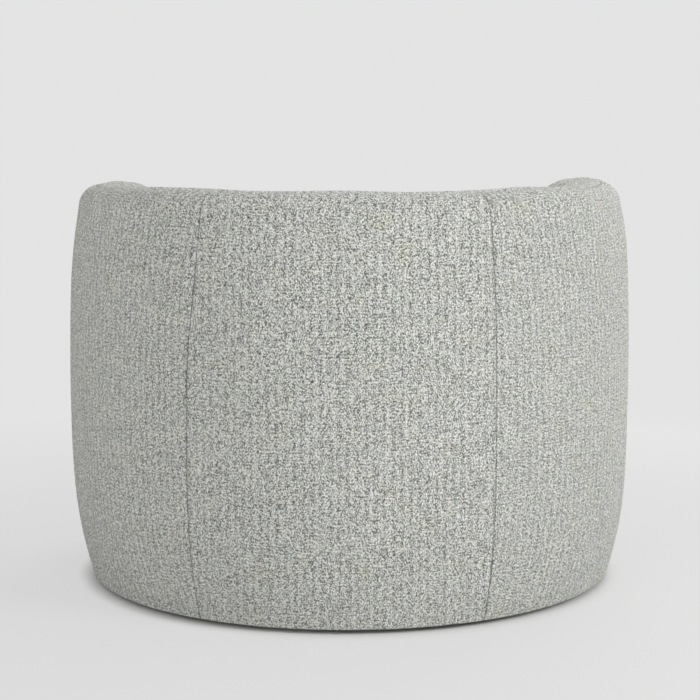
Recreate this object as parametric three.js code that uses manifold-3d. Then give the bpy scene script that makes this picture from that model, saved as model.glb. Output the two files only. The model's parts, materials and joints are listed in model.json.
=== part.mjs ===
// A low tub chair: one round padded wall on plywood ribs, a sprung seat and a loose cushion.
// Millimetres, +Z up. The chair faces -Y, and its origin is on the floor under its middle.
// Left and right are the sitter's: left is +X.
import * as THREE from "three";
import { mergeVertices } from "three/addons/utils/BufferGeometryUtils.js";
import Module from "manifold-3d";

const wasm = await Module();
wasm.setup();

const degree = Math.PI / 180;
const quarterTurn = 90 * degree;
const halfTurn = 180 * degree;
const fullTurn = 360 * degree;

// Driving sizes
const chairWidth = 960;
const chairHeight = 671;
const backReach = 500; // from the wall's widest line back to its rear
const seatReach = 340; // from the same line forward to the front of the seat
const floorGap = 8; // under the cloth's lower edge
const jointGap = 0.3; // between pieces that touch on the real chair

// The wall: half ovals in plan, a barrel outside, a padded slope inside, a round rim
const wall = {
  armReach: 470, // half depth of the oval that the arms follow
  endAngle: 115 * degree,
  seamAngle: 28.5 * degree,
  coreInset: 68, // from the widest line in to the wall's middle line
  widestHeight: 317,
  rimInset: 27, // how far the barrel draws in at the rim
  footInset: 33, // and at the foot
  innerInset: 160, // from the widest line in to the inner face at the rim
  seatInset: 190, // and at the seat
  outerRound: 36,
  innerRound: 76,
  crown: 2,
  slopeStart: 75, // ahead of the widest line, where the rim starts to fall
  slopeRun: 160,
  slopeDrop: 50,
};
const bulgePower = 3;
const slopePower = 1.5;
const backFullness = 2;
const armFullness = 2.5;
const seatFullness = 2.05;

// Cloth, foam and board, from the outside in
const coverThickness = 3;
const outerFoam = 12;
const innerFoam = 45;
const linerThickness = 3;
const railThickness = 20;
const ribThickness = 18;
const ribClearance = 1.4; // a flat rib behind a curved liner
const railClearance = 1; // a rail trimmed square under the rim's curve
const baseThickness = 18;
const borderBoard = 4;

// The seat frame, from the base up
const legSide = 40;
const legHeight = 154;
const railWidth = 22;
const railHeight = 60;
const deckThickness = 15;
const stripThickness = 1.5;
const stripWidth = 16;
const wireDiameter = 3.6;
const padThickness = 15;
const deckClothThickness = 1.2;
const frameInset = { side: 109, back: 92, front: 122 }; // from the seat's line in to the rails
const openingInset = { side: 28, end: 19 }; // from the rails in to the deck's opening

const baseTop = floorGap + baseThickness;
const above = (top) => top + jointGap;
const legTop = above(baseTop) + legHeight;
const railTop = above(legTop) + railHeight;
const deckTop = above(railTop) + deckThickness;
const stripTop = above(deckTop) + stripThickness;
const springTop = above(stripTop) + wireDiameter;
const padTop = above(springTop) + padThickness;
const seatTop = above(padTop) + deckClothThickness;

const planCentre = (seatReach - backReach) / 2;
const seatClearance = 3; // between the cushion and the wall's inner face
const wallOval = {
  halfWidth: chairWidth / 2,
  backReach,
  frontReach: wall.armReach,
  backFullness,
  frontFullness: armFullness,
};
const seatOval = {
  halfWidth: chairWidth / 2 - wall.seatInset - seatClearance,
  backReach: backReach - wall.seatInset - seatClearance,
  frontReach: seatReach,
  backFullness,
  frontFullness: seatFullness,
};
const frame = {
  halfWidth: seatOval.halfWidth - frameInset.side,
  back: seatOval.backReach - frameInset.back,
  front: seatOval.frontReach - frameInset.front,
};
const opening = {
  halfWidth: frame.halfWidth - openingInset.side,
  back: frame.back - openingInset.end,
  front: frame.front - openingInset.end,
  corner: 30,
};

// Depths of the layers under the outer, inner and top faces of the wall
const underCover = coverThickness + jointGap;
const outerLiner = underCover + outerFoam + jointGap;
const innerLiner = underCover + innerFoam + jointGap;
const railDepth = wall.outerRound + railClearance;
const behind = (liner) => liner + linerThickness + jointGap;
const even = (depth) => ({ outer: depth, inner: depth, top: depth });
const frameDepth = { outer: underCover + outerFoam, inner: underCover + innerFoam, top: wall.outerRound };

// Levels of a wall section: the frame's foot, shares of the upright face, of the round, then the crest
const footLevel = -1;
const springLevel = 1;
const roundLevel = 2;
const crestLevel = 3;
const rimSeamLevel = 1.9;
const gapShare = (2 * jointGap) / chairHeight;
const rimGapShare = jointGap / (wall.outerRound * quarterTurn) / 2;
const gapAngle = jointGap / chairWidth;
const capGapAngle = jointGap / wall.coreInset / 2;
const outerShares = [0.2, 0.45, 0.75, 0.9];
const innerShares = [0.7, 0.35];

const finishes = {
  cloth: { color: 0xb3b7ad, roughness: 0.95, metalness: 0 },
  foam: { color: 0xe9e0bd, roughness: 0.9, metalness: 0 },
  pad: { color: 0xd5d2c8, roughness: 0.95, metalness: 0 },
  plywood: { color: 0xc9a674, roughness: 0.7, metalness: 0 },
  board: { color: 0x9b8565, roughness: 0.85, metalness: 0 },
  lining: { color: 0x2a2b2e, roughness: 0.95, metalness: 0 },
  wire: { color: 0x8b8e92, roughness: 0.35, metalness: 1 },
  glide: { color: 0x242426, roughness: 0.5, metalness: 0 },
  zip: { color: 0xa3a6a8, roughness: 0.3, metalness: 1 },
};

const chair = new THREE.Group();

const mix = (from, to, share) => from + (to - from) * share;
const signedPower = (value, power) => Math.sign(value) * Math.abs(value) ** power;

// A list of places from one value to another, both ends included
function spread(from, to, steps) {
  return Array.from({ length: steps + 1 }, (_, step) => mix(from, to, step / steps));
}

function add(name, geometry, finish) {
  const piece = new THREE.Mesh(geometry, new THREE.MeshStandardMaterial(finishes[finish]));
  piece.name = name;
  chair.add(piece);
  return piece;
}

// A body from points and corner indices: same points are merged, and faces turned outwards
function bodyOf(points, corners) {
  const raw = new THREE.BufferGeometry();
  raw.setAttribute("position", new THREE.Float32BufferAttribute(points.flatMap((p) => [p.x, p.y, p.z]), 3));
  raw.setIndex(corners);
  const body = mergeVertices(raw);
  const index = [...body.getIndex().array];
  const at = (corner) => new THREE.Vector3().fromBufferAttribute(body.getAttribute("position"), corner);
  const kept = [];
  let volume = 0;
  for (let i = 0; i < index.length; i += 3) {
    const [a, b, c] = index.slice(i, i + 3);
    if (a === b || b === c || c === a) continue;
    kept.push([a, b, c]);
    volume += at(a).dot(at(b).cross(at(c)));
  }
  body.setIndex(kept.flatMap(([a, b, c]) => (volume < 0 ? [a, c, b] : [a, b, c])));
  body.computeVertexNormals();
  return body;
}

const quad = (a, b, c, d) => [a, b, c, a, c, d];

// The solid between two grids of points that match row for row; a ring grid closes on itself
function slab(front, back, ring = false) {
  const rows = front.length;
  const columns = front[0].length;
  const size = rows * columns;
  const at = (row, column) => row * columns + (column % columns);
  const corners = [];
  const spans = ring ? columns : columns - 1;
  for (let row = 0; row < rows - 1; row += 1) {
    for (let column = 0; column < spans; column += 1) {
      const face = quad(at(row, column), at(row, column + 1), at(row + 1, column + 1), at(row + 1, column));
      corners.push(...face, ...face.map((corner) => corner + size).reverse());
    }
  }
  const start = (a, b) => corners.push(...quad(b, a, a + size, b + size));
  const finish = (a, b) => corners.push(...quad(a, a + size, b + size, b));
  for (let column = 0; column < spans; column += 1) {
    start(at(0, column), at(0, column + 1));
    finish(at(rows - 1, column + 1), at(rows - 1, column));
  }
  for (let row = 0; row < rows - 1 && !ring; row += 1) {
    start(at(row + 1, 0), at(row, 0));
    finish(at(row, columns - 1), at(row + 1, columns - 1));
  }
  return bodyOf([...front.flat(), ...back.flat()], corners);
}

// The solid inside closed rings of points, from one pole or end to the other
function lofted(rings) {
  const columns = rings[0].length;
  const corners = [];
  for (let row = 0; row < rings.length - 1; row += 1) {
    for (let column = 0; column < columns; column += 1) {
      const next = (column + 1) % columns;
      corners.push(...quad(row * columns + column, row * columns + next,
        (row + 1) * columns + next, (row + 1) * columns + column));
    }
  }
  const last = (rings.length - 1) * columns;
  for (let column = 1; column < columns - 1; column += 1) {
    corners.push(0, column + 1, column, last, last + column, last + column + 1);
  }
  return bodyOf(rings.flat(), corners);
}

// A flat board: an outline of [across, up] points, as thick as said, set by its place and its axes
function board(outline, thickness, origin, across, up) {
  const shape = new THREE.Shape(outline.map(([x, y]) => new THREE.Vector2(x, y)));
  const body = new THREE.ExtrudeGeometry(shape, { depth: thickness, bevelEnabled: false });
  const through = new THREE.Vector3().crossVectors(across, up);
  return body.applyMatrix4(new THREE.Matrix4().makeBasis(across, up, through).setPosition(origin));
}

function box(low, high) {
  const middle = new THREE.Vector3().addVectors(low, high).divideScalar(2);
  const size = new THREE.Vector3().subVectors(high, low);
  return new THREE.BoxGeometry(size.x, size.y, size.z).translate(middle.x, middle.y, middle.z);
}

const xyz = (x, y, z) => new THREE.Vector3(x, y, z);

function manifoldOf(geometry) {
  const bare = geometry.clone();
  bare.deleteAttribute("normal");
  bare.deleteAttribute("uv");
  const merged = mergeVertices(bare);
  const vertProperties = new Float32Array(merged.getAttribute("position").array);
  const triVerts = new Uint32Array(merged.getIndex().array);
  return new wasm.Manifold(new wasm.Mesh({ numProp: 3, vertProperties, triVerts }));
}

function cutAway(geometry, cutter) {
  const mesh = manifoldOf(geometry).subtract(manifoldOf(cutter)).getMesh();
  const body = new THREE.BufferGeometry();
  body.setAttribute("position", new THREE.BufferAttribute(mesh.vertProperties, 3));
  body.setIndex([...mesh.triVerts]);
  body.computeVertexNormals();
  return body;
}

// A point of an oval, its angle measured from the back, and the way it faces
function ovalPoint(oval, angle, inset = 0) {
  const ahead = Math.cos(angle) < 0;
  const fullness = ahead ? oval.frontFullness : oval.backFullness;
  const halfWidth = oval.halfWidth - inset;
  const reach = (ahead ? oval.frontReach : oval.backReach) - inset;
  const across = signedPower(Math.sin(angle), 2 / fullness);
  const along = signedPower(Math.cos(angle), 2 / fullness);
  const facing = new THREE.Vector2(
    signedPower(across, fullness - 1) / halfWidth,
    signedPower(along, fullness - 1) / reach,
  );
  return { x: across * halfWidth, y: along * reach + planCentre, facing: facing.normalize() };
}

// The rim is level round the back and falls along the arms
function rimHeight(y) {
  const ahead = Math.max(planCentre - wall.slopeStart - y, 0);
  return chairHeight - wall.crown - wall.slopeDrop * (ahead / wall.slopeRun) ** slopePower;
}

// The barrel's inset at a height, cubic away from its widest height
function barrelInset(z) {
  const rise = z - wall.widestHeight;
  if (rise > 0) return wall.rimInset * (rise / (chairHeight - wall.widestHeight)) ** bulgePower;
  return wall.footInset * (-rise / (wall.widestHeight - floorGap)) ** bulgePower;
}

// How far a face of the wall lies from its middle line at a height
function faceReach(face, z) {
  if (face === "outer") return wall.coreInset - barrelInset(z);
  const share = Math.min(Math.max((chairHeight - z) / (chairHeight - deckTop), 0), 1);
  const padded = share * share * (3 - 2 * share);
  return mix(wall.innerInset, wall.seatInset, padded) - wall.coreInset;
}

// Stations stand on the wall's middle line; turn is 0 facing out and 1 facing in, above the deck
function wallStation(angle, turn) {
  const line = ovalPoint(wallOval, angle);
  const facing = line.facing.clone().multiplyScalar(turn ? -1 : 1);
  const x = line.x - line.facing.x * wall.coreInset;
  const y = line.y - line.facing.y * wall.coreInset;
  return { x, y, facing, turn, rise: rimHeight(line.y), low: turn ? deckTop : floorGap };
}

// The way the wall runs on past its end, on one side
function aheadOf(end, side) {
  return new THREE.Vector2(end.facing.y, -end.facing.x).multiplyScalar(side);
}

function capStation(side, swing) {
  const end = wallStation(side * wall.endAngle, 0);
  const facing = end.facing.clone().multiplyScalar(Math.cos(swing));
  facing.addScaledVector(aheadOf(end, side), Math.sin(swing));
  return { ...end, facing, turn: (1 - Math.cos(swing)) / 2 };
}

function sectionPoint(face, { rise, low }, level, depth) {
  const round = face === "outer" ? wall.outerRound : wall.innerRound;
  const top = rise - depth.top;
  const spring = Math.min(rise - round, top);
  if (level <= springLevel) {
    const z = level < 0 ? above(baseTop) : mix(low, spring, level);
    return { reach: faceReach(face, z) - depth[face], z };
  }
  if (level > roundLevel) return { reach: 0, z: top + wall.crown };
  const side = faceReach(face, spring) - depth[face];
  const flat = Math.min(faceReach(face, spring) - round, side);
  const swing = (level - springLevel) * quarterTurn;
  return { reach: mix(flat, side, Math.cos(swing)), z: mix(spring, top, Math.sin(swing)) };
}

// A point of the wall at a station and a level, so deep under its faces
function wallPoint(station, level, depth) {
  const outside = sectionPoint("outer", station, level, depth);
  const inside = sectionPoint("inner", station, level, depth);
  const reach = mix(outside.reach, inside.reach, station.turn);
  const z = mix(outside.z, inside.z, station.turn);
  return xyz(station.x + station.facing.x * reach, station.y + station.facing.y * reach, z);
}

const arcColumn = (angle) => ({ outer: wallStation(angle, 0), inner: wallStation(angle, 1) });

function capColumn(side, swing) {
  const station = capStation(side, swing);
  return { outer: station, inner: station };
}

// A layer of the wall between two depths, over columns of stations and a path of [face, level] steps
function wallLayer(columns, path, outside, inside) {
  const grid = (depth) => path.map(([face, level]) =>
    columns.map((column) => wallPoint(column[face], level, depth)));
  return slab(grid(outside), grid(inside));
}

const outerPath = (levels) => levels.map((level) => ["outer", level]);
const innerPath = (levels) => levels.map((level) => ["inner", level]);

// Angles round the wall that all its layers share, so that their facets nest
const backSteps = 4;
const armSteps = 11;
const capSteps = 6;
const insideSeamStep = 3;
const armAngles = spread(wall.seamAngle, wall.endAngle, armSteps);
const backAngles = spread(-wall.seamAngle, wall.seamAngle, 2 * backSteps);
const mirrored = (angles) => angles.map((angle) => -angle).reverse();
const wallAngles = [...mirrored(armAngles).slice(0, -1), ...backAngles, ...armAngles.slice(1)];
const sides = { left: 1, right: -1 };

// The same angles with both ends drawn in by half a seam
function seamed(angles) {
  const inner = angles.slice(1, -1);
  return [angles[0] + gapAngle, ...inner, angles[angles.length - 1] - gapAngle];
}

const sided = (angles, side) => (side > 0 ? angles : mirrored(angles));
const capSwings = spread(capGapAngle, halfTurn - capGapAngle, capSteps);

function addOuterCovers() {
  const path = outerPath([0, footLevel, ...outerShares, springLevel, 1.25, 1.5, rimSeamLevel - rimGapShare]);
  const cover = (angles) => wallLayer(seamed(angles).map(arcColumn), path, even(0), even(coverThickness));
  add("outer_back_cover", cover(backAngles), "cloth");
  for (const [name, side] of Object.entries(sides)) {
    add(`outer_side_cover_${name}`, cover(sided(armAngles, side)), "cloth");
  }
}

function addInsideCovers() {
  const path = [
    ...outerPath([rimSeamLevel + rimGapShare, roundLevel]),
    ["outer", crestLevel],
    ...innerPath([roundLevel, 1.7, 1.35, springLevel, ...innerShares, gapShare]),
  ];
  const cover = (angles) => wallLayer(seamed(angles).map(arcColumn), path, even(0), even(coverThickness));
  const seam = armAngles[insideSeamStep];
  const back = wallAngles.filter((angle) => Math.abs(angle) <= seam);
  add("inside_back_cover", cover(back), "cloth");
  for (const [name, side] of Object.entries(sides)) {
    add(`inside_arm_cover_${name}`, cover(sided(armAngles.slice(insideSeamStep), side)), "cloth");
  }
}

const capLevels = [footLevel, ...outerShares, springLevel, 1.35, 1.7, roundLevel, crestLevel];

function addArmFronts() {
  for (const [name, side] of Object.entries(sides)) {
    const columns = capSwings.map((swing) => capColumn(side, swing));
    const cover = wallLayer(columns, outerPath([0, ...capLevels]), even(0), even(coverThickness));
    add(`arm_front_cover_${name}`, cover, "cloth");
    add(`arm_front_foam_${name}`, armFrontFoam(side), "foam");
    add(`arm_post_${name}`, armPost(side), "plywood");
  }
}

// The block of foam between the arm post's flat front and the round cover
function armFrontFoam(side) {
  const end = wallStation(side * wall.endAngle, 0);
  const ahead = aheadOf(end, side);
  const round = capLevels.map((level) => capSwings.map((swing) => {
    const point = wallPoint(capStation(side, swing), level, even(underCover + jointGap));
    return point.add(xyz(ahead.x * jointGap, ahead.y * jointGap, 0));
  }));
  const flat = round.map((row) => row.map((point) => {
    const past = (point.x - end.x) * ahead.x + (point.y - end.y) * ahead.y - jointGap;
    return point.clone().sub(xyz(ahead.x * past, ahead.y * past, 0));
  }));
  return slab(round, flat);
}

// The upright outline that ribs and arm posts share: barrel edge, rail seat, padded edge
function ribOutline(rise, topDepth, outerDepth, innerDepth) {
  const foot = above(baseTop);
  const top = rise - topDepth;
  const shares = [...outerShares, springLevel];
  const outer = [foot, ...shares.map((share) => mix(floorGap, rise - wall.outerRound, share))];
  const inner = [springLevel, ...innerShares, 0].map((share) => mix(deckTop, rise - wall.innerRound, share));
  const barrel = outer.filter((z) => z < top).map((z) => [faceReach("outer", z) - outerDepth, z]);
  const padded = inner.map((z) => [innerDepth - faceReach("inner", z), z]);
  const corner = wall.innerRound - faceReach("inner", rise - wall.innerRound);
  return [
    ...barrel,
    [faceReach("outer", top) - outerDepth, top],
    [corner, top],
    ...padded,
    [innerDepth - faceReach("inner", foot), foot],
  ];
}

function uprightBoard(angle, topDepth, thickness, ahead) {
  const station = wallStation(angle, 0);
  const facing = xyz(station.facing.x, station.facing.y, 0);
  const outline = ribOutline(station.rise, topDepth, behind(outerLiner) + ribClearance, behind(innerLiner));
  const up = xyz(0, 0, 1);
  const through = new THREE.Vector3().crossVectors(facing, up);
  const origin = xyz(station.x, station.y, 0).addScaledVector(through, ahead);
  return board(outline, thickness, origin, facing, up);
}

// A post's front face lies on the wall's end
function armPost(side) {
  return uprightBoard(side * wall.endAngle, railDepth, ribThickness, side > 0 ? -ribThickness : 0);
}

function addRibs() {
  const ribSteps = [0, 4, 7];
  const angles = [0, ...ribSteps.flatMap((step) => [armAngles[step], -armAngles[step]])];
  angles.forEach((angle, i) => {
    const rib = uprightBoard(angle, railDepth + railThickness + jointGap, ribThickness, -ribThickness / 2);
    add(`rib_${i + 1}`, rib, "plywood");
  });
}

// The rail runs on the ribs from post to post and follows the rim
function addTopRail() {
  const sections = wallAngles.map((angle) => {
    const station = wallStation(angle, 0);
    const top = station.rise - railDepth;
    const spring = station.rise - wall.innerRound;
    const outer = faceReach("outer", top) - behind(outerLiner);
    const inner = wall.innerRound - faceReach("inner", spring);
    const corners = [[outer, top], [inner, top], [inner, top - railThickness], [outer, top - railThickness]];
    return corners.map(([reach, z]) =>
      xyz(station.x + station.facing.x * reach, station.y + station.facing.y * reach, z));
  });
  // Each end stops square against the back of its post
  const trim = (side, end, next) => {
    const ahead = aheadOf(wallStation(side * wall.endAngle, 0), side);
    return end.map((point, i) => {
      const run = (point.x - next[i].x) * ahead.x + (point.y - next[i].y) * ahead.y;
      return point.clone().lerp(next[i], (ribThickness + jointGap) / run);
    });
  };
  const last = sections.length - 1;
  const ends = [trim(-1, sections[0], sections[1]), trim(1, sections[last], sections[last - 1])];
  add("top_rail", lofted([ends[0], ...sections.slice(1, -1), ends[1]]), "plywood");
}

function addLiners() {
  const columns = wallAngles.map(arcColumn);
  const outer = outerPath([footLevel, ...outerShares, springLevel - gapShare]);
  const inner = innerPath([springLevel, ...innerShares, 0, footLevel]);
  const layer = (path, depth) => wallLayer(columns, path, even(depth), even(depth + linerThickness));
  add("outer_liner", layer(outer, outerLiner), "board");
  add("inner_liner", layer(inner, innerLiner), "board");
}

function addWallFoams() {
  const columns = wallAngles.map(arcColumn);
  const shell = even(underCover);
  const outer = outerPath([footLevel, ...outerShares, springLevel - gapShare]);
  const inner = innerPath([springLevel - gapShare, ...innerShares, gapShare]);
  const rim = [
    ...outerPath([springLevel, 1.5, rimSeamLevel, roundLevel, crestLevel]),
    ...innerPath([roundLevel, 1.7, 1.35, springLevel]),
  ];
  add("outer_foam", wallLayer(columns, outer, shell, frameDepth), "foam");
  add("inside_foam", wallLayer(columns, inner, shell, frameDepth), "foam");
  add("rim_foam", wallLayer(columns, rim, shell, frameDepth), "foam");
}

// A flat panel from an outline of plan points, with holes; the outline is turned to run anticlockwise
function flatPanel(outline, bottom, thickness, holes = []) {
  const flat = (points) => points.map((point) => new THREE.Vector2(point.x, point.y));
  const edge = flat(outline);
  const shape = new THREE.Shape(THREE.ShapeUtils.isClockWise(edge) ? edge.reverse() : edge);
  shape.holes = holes.map((hole) => new THREE.Path(flat(hole)));
  const body = new THREE.ExtrudeGeometry(shape, { depth: thickness, bevelEnabled: false });
  return body.translate(0, 0, bottom);
}

const frontSteps = 12;
const frontAngles = spread(wall.endAngle, fullTurn - wall.endAngle, frontSteps);
const backRingSteps = 16;
const ringAngles = [...spread(-wall.endAngle, wall.endAngle, backRingSteps), ...frontAngles.slice(1, -1)];
const ovalRing = (oval, inset = 0) => ringAngles.map((angle) => ovalPoint(oval, angle, inset));

// The front edge of the base or the deck, which passes behind both ends of the seat's round front
function frontEdge(inset) {
  const tuckAngle = 2 * degree;
  const tuck = (side) => ovalPoint(seatOval, side * (wall.endAngle - tuckAngle));
  const edge = frontAngles.map((angle) => ovalPoint(seatOval, angle, inset));
  return [tuck(sides.left), ...edge, tuck(sides.right)];
}

// The base follows the wall, both arm fronts and the seat front
function addBase() {
  const foot = even(underCover);
  const arc = wallAngles.map((angle) => wallPoint(wallStation(angle, 0), 0, foot));
  const cap = (side) => [
    ...capSwings.slice(1, -1).map((swing) => wallPoint(capStation(side, swing), 0, foot)),
    wallPoint(wallStation(side * wall.endAngle, 1), 0, foot),
  ];
  const outline = [...arc, ...cap(sides.left), ...frontEdge(underCover), ...cap(sides.right).reverse()];
  add("base_panel", flatPanel(outline, floorGap, baseThickness), "plywood");
}

// The cloth under the base lies inside the glides and follows the wall's line and the seat front
const lining = { thickness: 1.2, wallInset: 100, frontInset: 30 };

function addDustCover() {
  const arc = wallAngles.map((angle) => ovalPoint(wallOval, angle, lining.wallInset));
  const front = frontAngles.map((angle) => ovalPoint(seatOval, angle, lining.frontInset));
  const bottom = floorGap - jointGap - lining.thickness;
  add("dust_cover", flatPanel([...arc, ...front], bottom, lining.thickness), "lining");
}

// Round nail-on glides, two under the back and one under each arm front
const glide = { radius: 15, footRadius: 12, chamfer: 2 };

function addGlides() {
  const height = floorGap - jointGap;
  const backAngle = 40 * degree;
  const sideCount = 14;
  const outline = [[0, 0], [glide.footRadius, 0], [glide.radius, glide.chamfer], [glide.radius, height], [0, height]];
  const body = new THREE.LatheGeometry(outline.map(([r, z]) => new THREE.Vector2(r, z)), sideCount);
  body.rotateX(quarterTurn);
  const places = [backAngle, -backAngle, wall.endAngle, -wall.endAngle];
  places.forEach((angle, i) => {
    const station = wallStation(angle, 0);
    add(`glide_${i + 1}`, body.clone(), "glide").position.set(station.x, station.y, 0);
  });
}

// Rails on four legs carry the deck panel and its springs
function addSeatFrame() {
  const back = planCentre + frame.back;
  const front = planCentre - frame.front;
  const side = frame.halfWidth;
  const corners = [[side, front], [-side, front], [side, back], [-side, back]];
  corners.forEach(([x, y], i) => {
    const inX = x - Math.sign(x) * legSide;
    const inY = y === front ? y + legSide : y - legSide;
    const low = xyz(Math.min(x, inX), Math.min(y, inY), above(baseTop));
    const high = xyz(Math.max(x, inX), Math.max(y, inY), legTop);
    add(`seat_leg_${i + 1}`, box(low, high), "plywood");
  });
  const foot = above(legTop);
  add("front_rail", box(xyz(-side, front, foot), xyz(side, front + railWidth, railTop)), "plywood");
  add("back_rail", box(xyz(-side, back - railWidth, foot), xyz(side, back, railTop)), "plywood");
  const sideFront = front + railWidth + jointGap;
  const sideBack = back - railWidth - jointGap;
  for (const [name, sign] of Object.entries(sides)) {
    const edges = [sign * side, sign * (side - railWidth)];
    const low = xyz(Math.min(...edges), sideFront, foot);
    add(`side_rail_${name}`, box(low, xyz(Math.max(...edges), sideBack, railTop)), "plywood");
  }
}

const borderDepth = underCover + outerFoam + jointGap;
const deckInset = borderDepth + borderBoard + jointGap;

// The deck panel fills the wall's inside and the seat front, round one opening for the springs
function addDeckPanel() {
  const edge = even(innerLiner - jointGap - jointGap);
  const inner = even(0);
  const arc = wallAngles.map((angle) => wallPoint(wallStation(angle, 1), 0, edge));
  const armEnd = (side) => wallPoint(wallStation(side * wall.endAngle, 1), 0, inner);
  const outline = [...arc, armEnd(sides.left), ...frontEdge(deckInset), armEnd(sides.right)];
  add("deck_panel", flatPanel(outline, above(railTop), deckThickness, [springOpening()]), "plywood");
}

function springOpening() {
  const path = new THREE.Shape();
  const { halfWidth, corner } = opening;
  const back = planCentre + opening.back;
  const front = planCentre - opening.front;
  path.absarc(halfWidth - corner, back - corner, corner, 0, quarterTurn);
  path.absarc(corner - halfWidth, back - corner, corner, quarterTurn, halfTurn);
  path.absarc(corner - halfWidth, front + corner, corner, halfTurn, 3 * quarterTurn);
  path.absarc(halfWidth - corner, front + corner, corner, 3 * quarterTurn, fullTurn);
  const cornerSteps = 3;
  return path.getPoints(cornerSteps);
}

// A zigzag spring runs front to back: crosswise bars with round bends
class ZigzagLine extends THREE.Curve {
  constructor(x, from, to, z, zigzag) {
    super();
    Object.assign(this, { x, from, to, z, zigzag });
  }

  getPoint(share, target = new THREE.Vector3()) {
    const swing = share * this.zigzag.turns * fullTurn;
    const across = this.zigzag.reach * Math.sin(swing);
    const along = mix(this.from, this.to, share) + this.zigzag.lean * Math.sin(2 * swing);
    return target.set(this.x + across, along, this.z);
  }
}

const stripHalf = frame.halfWidth - railWidth;
const springRow = { count: 5, endClearance: 1, bendClearance: 8 }; // beside the last spring, and round each one
const springPitch = (2 * (stripHalf - springRow.endClearance)) / springRow.count;
const zigzag = { turns: 7, reach: springPitch / 2 - springRow.bendClearance, lean: 6 };

function addSprings() {
  const stepsPerTurn = 6;
  const wireSides = 4;
  const frontStrip = planCentre - opening.front - jointGap;
  const backStrip = planCentre + opening.back + jointGap;
  const strip = (near, far) => box(xyz(-stripHalf, near, above(deckTop)), xyz(stripHalf, far, stripTop));
  add("spring_strip_front", strip(frontStrip - stripWidth, frontStrip), "wire");
  add("spring_strip_back", strip(backStrip, backStrip + stripWidth), "wire");
  const radius = wireDiameter / 2;
  const ring = Array.from({ length: wireSides }, (_, i) => {
    const angle = (i + 0.5) * (fullTurn / wireSides);
    return new THREE.Vector2(Math.cos(angle) * radius, Math.sin(angle) * radius);
  });
  const from = frontStrip - stripWidth / 2;
  const to = backStrip + stripWidth / 2;
  for (let i = 0; i < springRow.count; i += 1) {
    const x = (i - (springRow.count - 1) / 2) * springPitch;
    const extrudePath = new ZigzagLine(x, from, to, above(stripTop) + radius, zigzag);
    const steps = zigzag.turns * stepsPerTurn;
    const wire = new THREE.ExtrudeGeometry(new THREE.Shape(ring), { steps, extrudePath, bevelEnabled: false });
    add(`spring_${i + 1}`, wire, "wire");
  }
}

// A skin of the seat's round front between two insets, from its foot to its top
function borderSkin(outside, inside, foot, top) {
  const grid = (inset) => [foot, top].map((z) => frontAngles.map((angle) => {
    const point = ovalPoint(seatOval, angle, inset);
    return xyz(point.x, point.y, z);
  }));
  return slab(grid(outside), grid(inside));
}

// Cover, foam and bent board, and the formers between the board and the front rail
const former = { count: 3, thickness: 15, pitch: 110, clearance: 2 };

function addSeatFront() {
  const foot = above(baseTop);
  add("front_border_cover", borderSkin(0, coverThickness, floorGap, seatTop), "cloth");
  add("front_border_foam", borderSkin(underCover, underCover + outerFoam, foot, springTop), "foam");
  add("front_border_board", borderSkin(borderDepth, borderDepth + borderBoard, foot, deckTop), "board");
  const railFace = planCentre - frame.front - jointGap;
  const inset = deckInset + former.clearance;
  for (let i = 0; i < former.count; i += 1) {
    const x = (i - (former.count - 1) / 2) * former.pitch;
    const edge = Math.abs(x) + former.thickness / 2;
    const share = 1 - (edge / (seatOval.halfWidth - inset)) ** seatFullness;
    const front = planCentre - (seatOval.frontReach - inset) * share ** (1 / seatFullness);
    const low = xyz(x - former.thickness / 2, front, foot);
    const high = xyz(x + former.thickness / 2, railFace, railTop);
    add(`front_former_${i + 1}`, box(low, high), "plywood");
  }
}

function addDeck() {
  const outline = ovalRing(seatOval, underCover);
  add("deck_pad", flatPanel(outline, above(springTop), padThickness), "pad");
  add("deck_cloth", flatPanel(outline, above(padTop), deckClothThickness), "lining");
}

// The loose cushion: crowned top, boxing drawn in at its seams, underside flat where it rests
const cushion = {
  cover: 2.5,
  height: 118, // from the deck to the upper seam
  seamRise: 14, // from the deck to the lower seam
  crown: 32,
  seamTuck: 7,
  restInset: 26,
};
const cushionFoot = above(seatTop);
const crownPower = 2.4;
const topShares = [0, 0.32, 0.58, 0.78, 0.92, 1];
const boxingShares = [0, 0.25, 0.5, 0.75, 1];
const zip = { width: 22, depth: 1.8, edgeInset: 65, endClearance: 17 };
const zipBack = seatOval.backReach - cushion.restInset - zip.edgeInset - zip.width / 2;
const zipLength = 2 * (restHalfWidth(zipBack + zip.width / 2) - zip.endClearance);

// Half the width of the cushion's flat underside, so far behind the widest line
function restHalfWidth(back) {
  const share = back / (seatOval.backReach - cushion.restInset);
  return (seatOval.halfWidth - cushion.restInset) * (1 - share ** backFullness) ** (1 / backFullness);
}

// Rings of the cushion's three panels, each so deep under its face
function topRings(depth) {
  const seam = cushionFoot + cushion.height;
  return topShares.map((share) => ovalRing(seatOval, cushion.seamTuck + depth).map((point) => {
    const z = seam + cushion.crown * (1 - share ** crownPower) - depth;
    return xyz(point.x * share, mix(planCentre, point.y, share), z);
  }));
}

function boxingRings(depth, trim) {
  const top = cushionFoot + cushion.height - trim;
  const low = cushionFoot + cushion.seamRise + trim;
  return boxingShares.map((share) => {
    const inset = cushion.seamTuck * (2 * share - 1) ** 2 + depth;
    return ovalRing(seatOval, inset).map((point) => xyz(point.x, point.y, mix(top, low, share)));
  });
}

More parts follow.
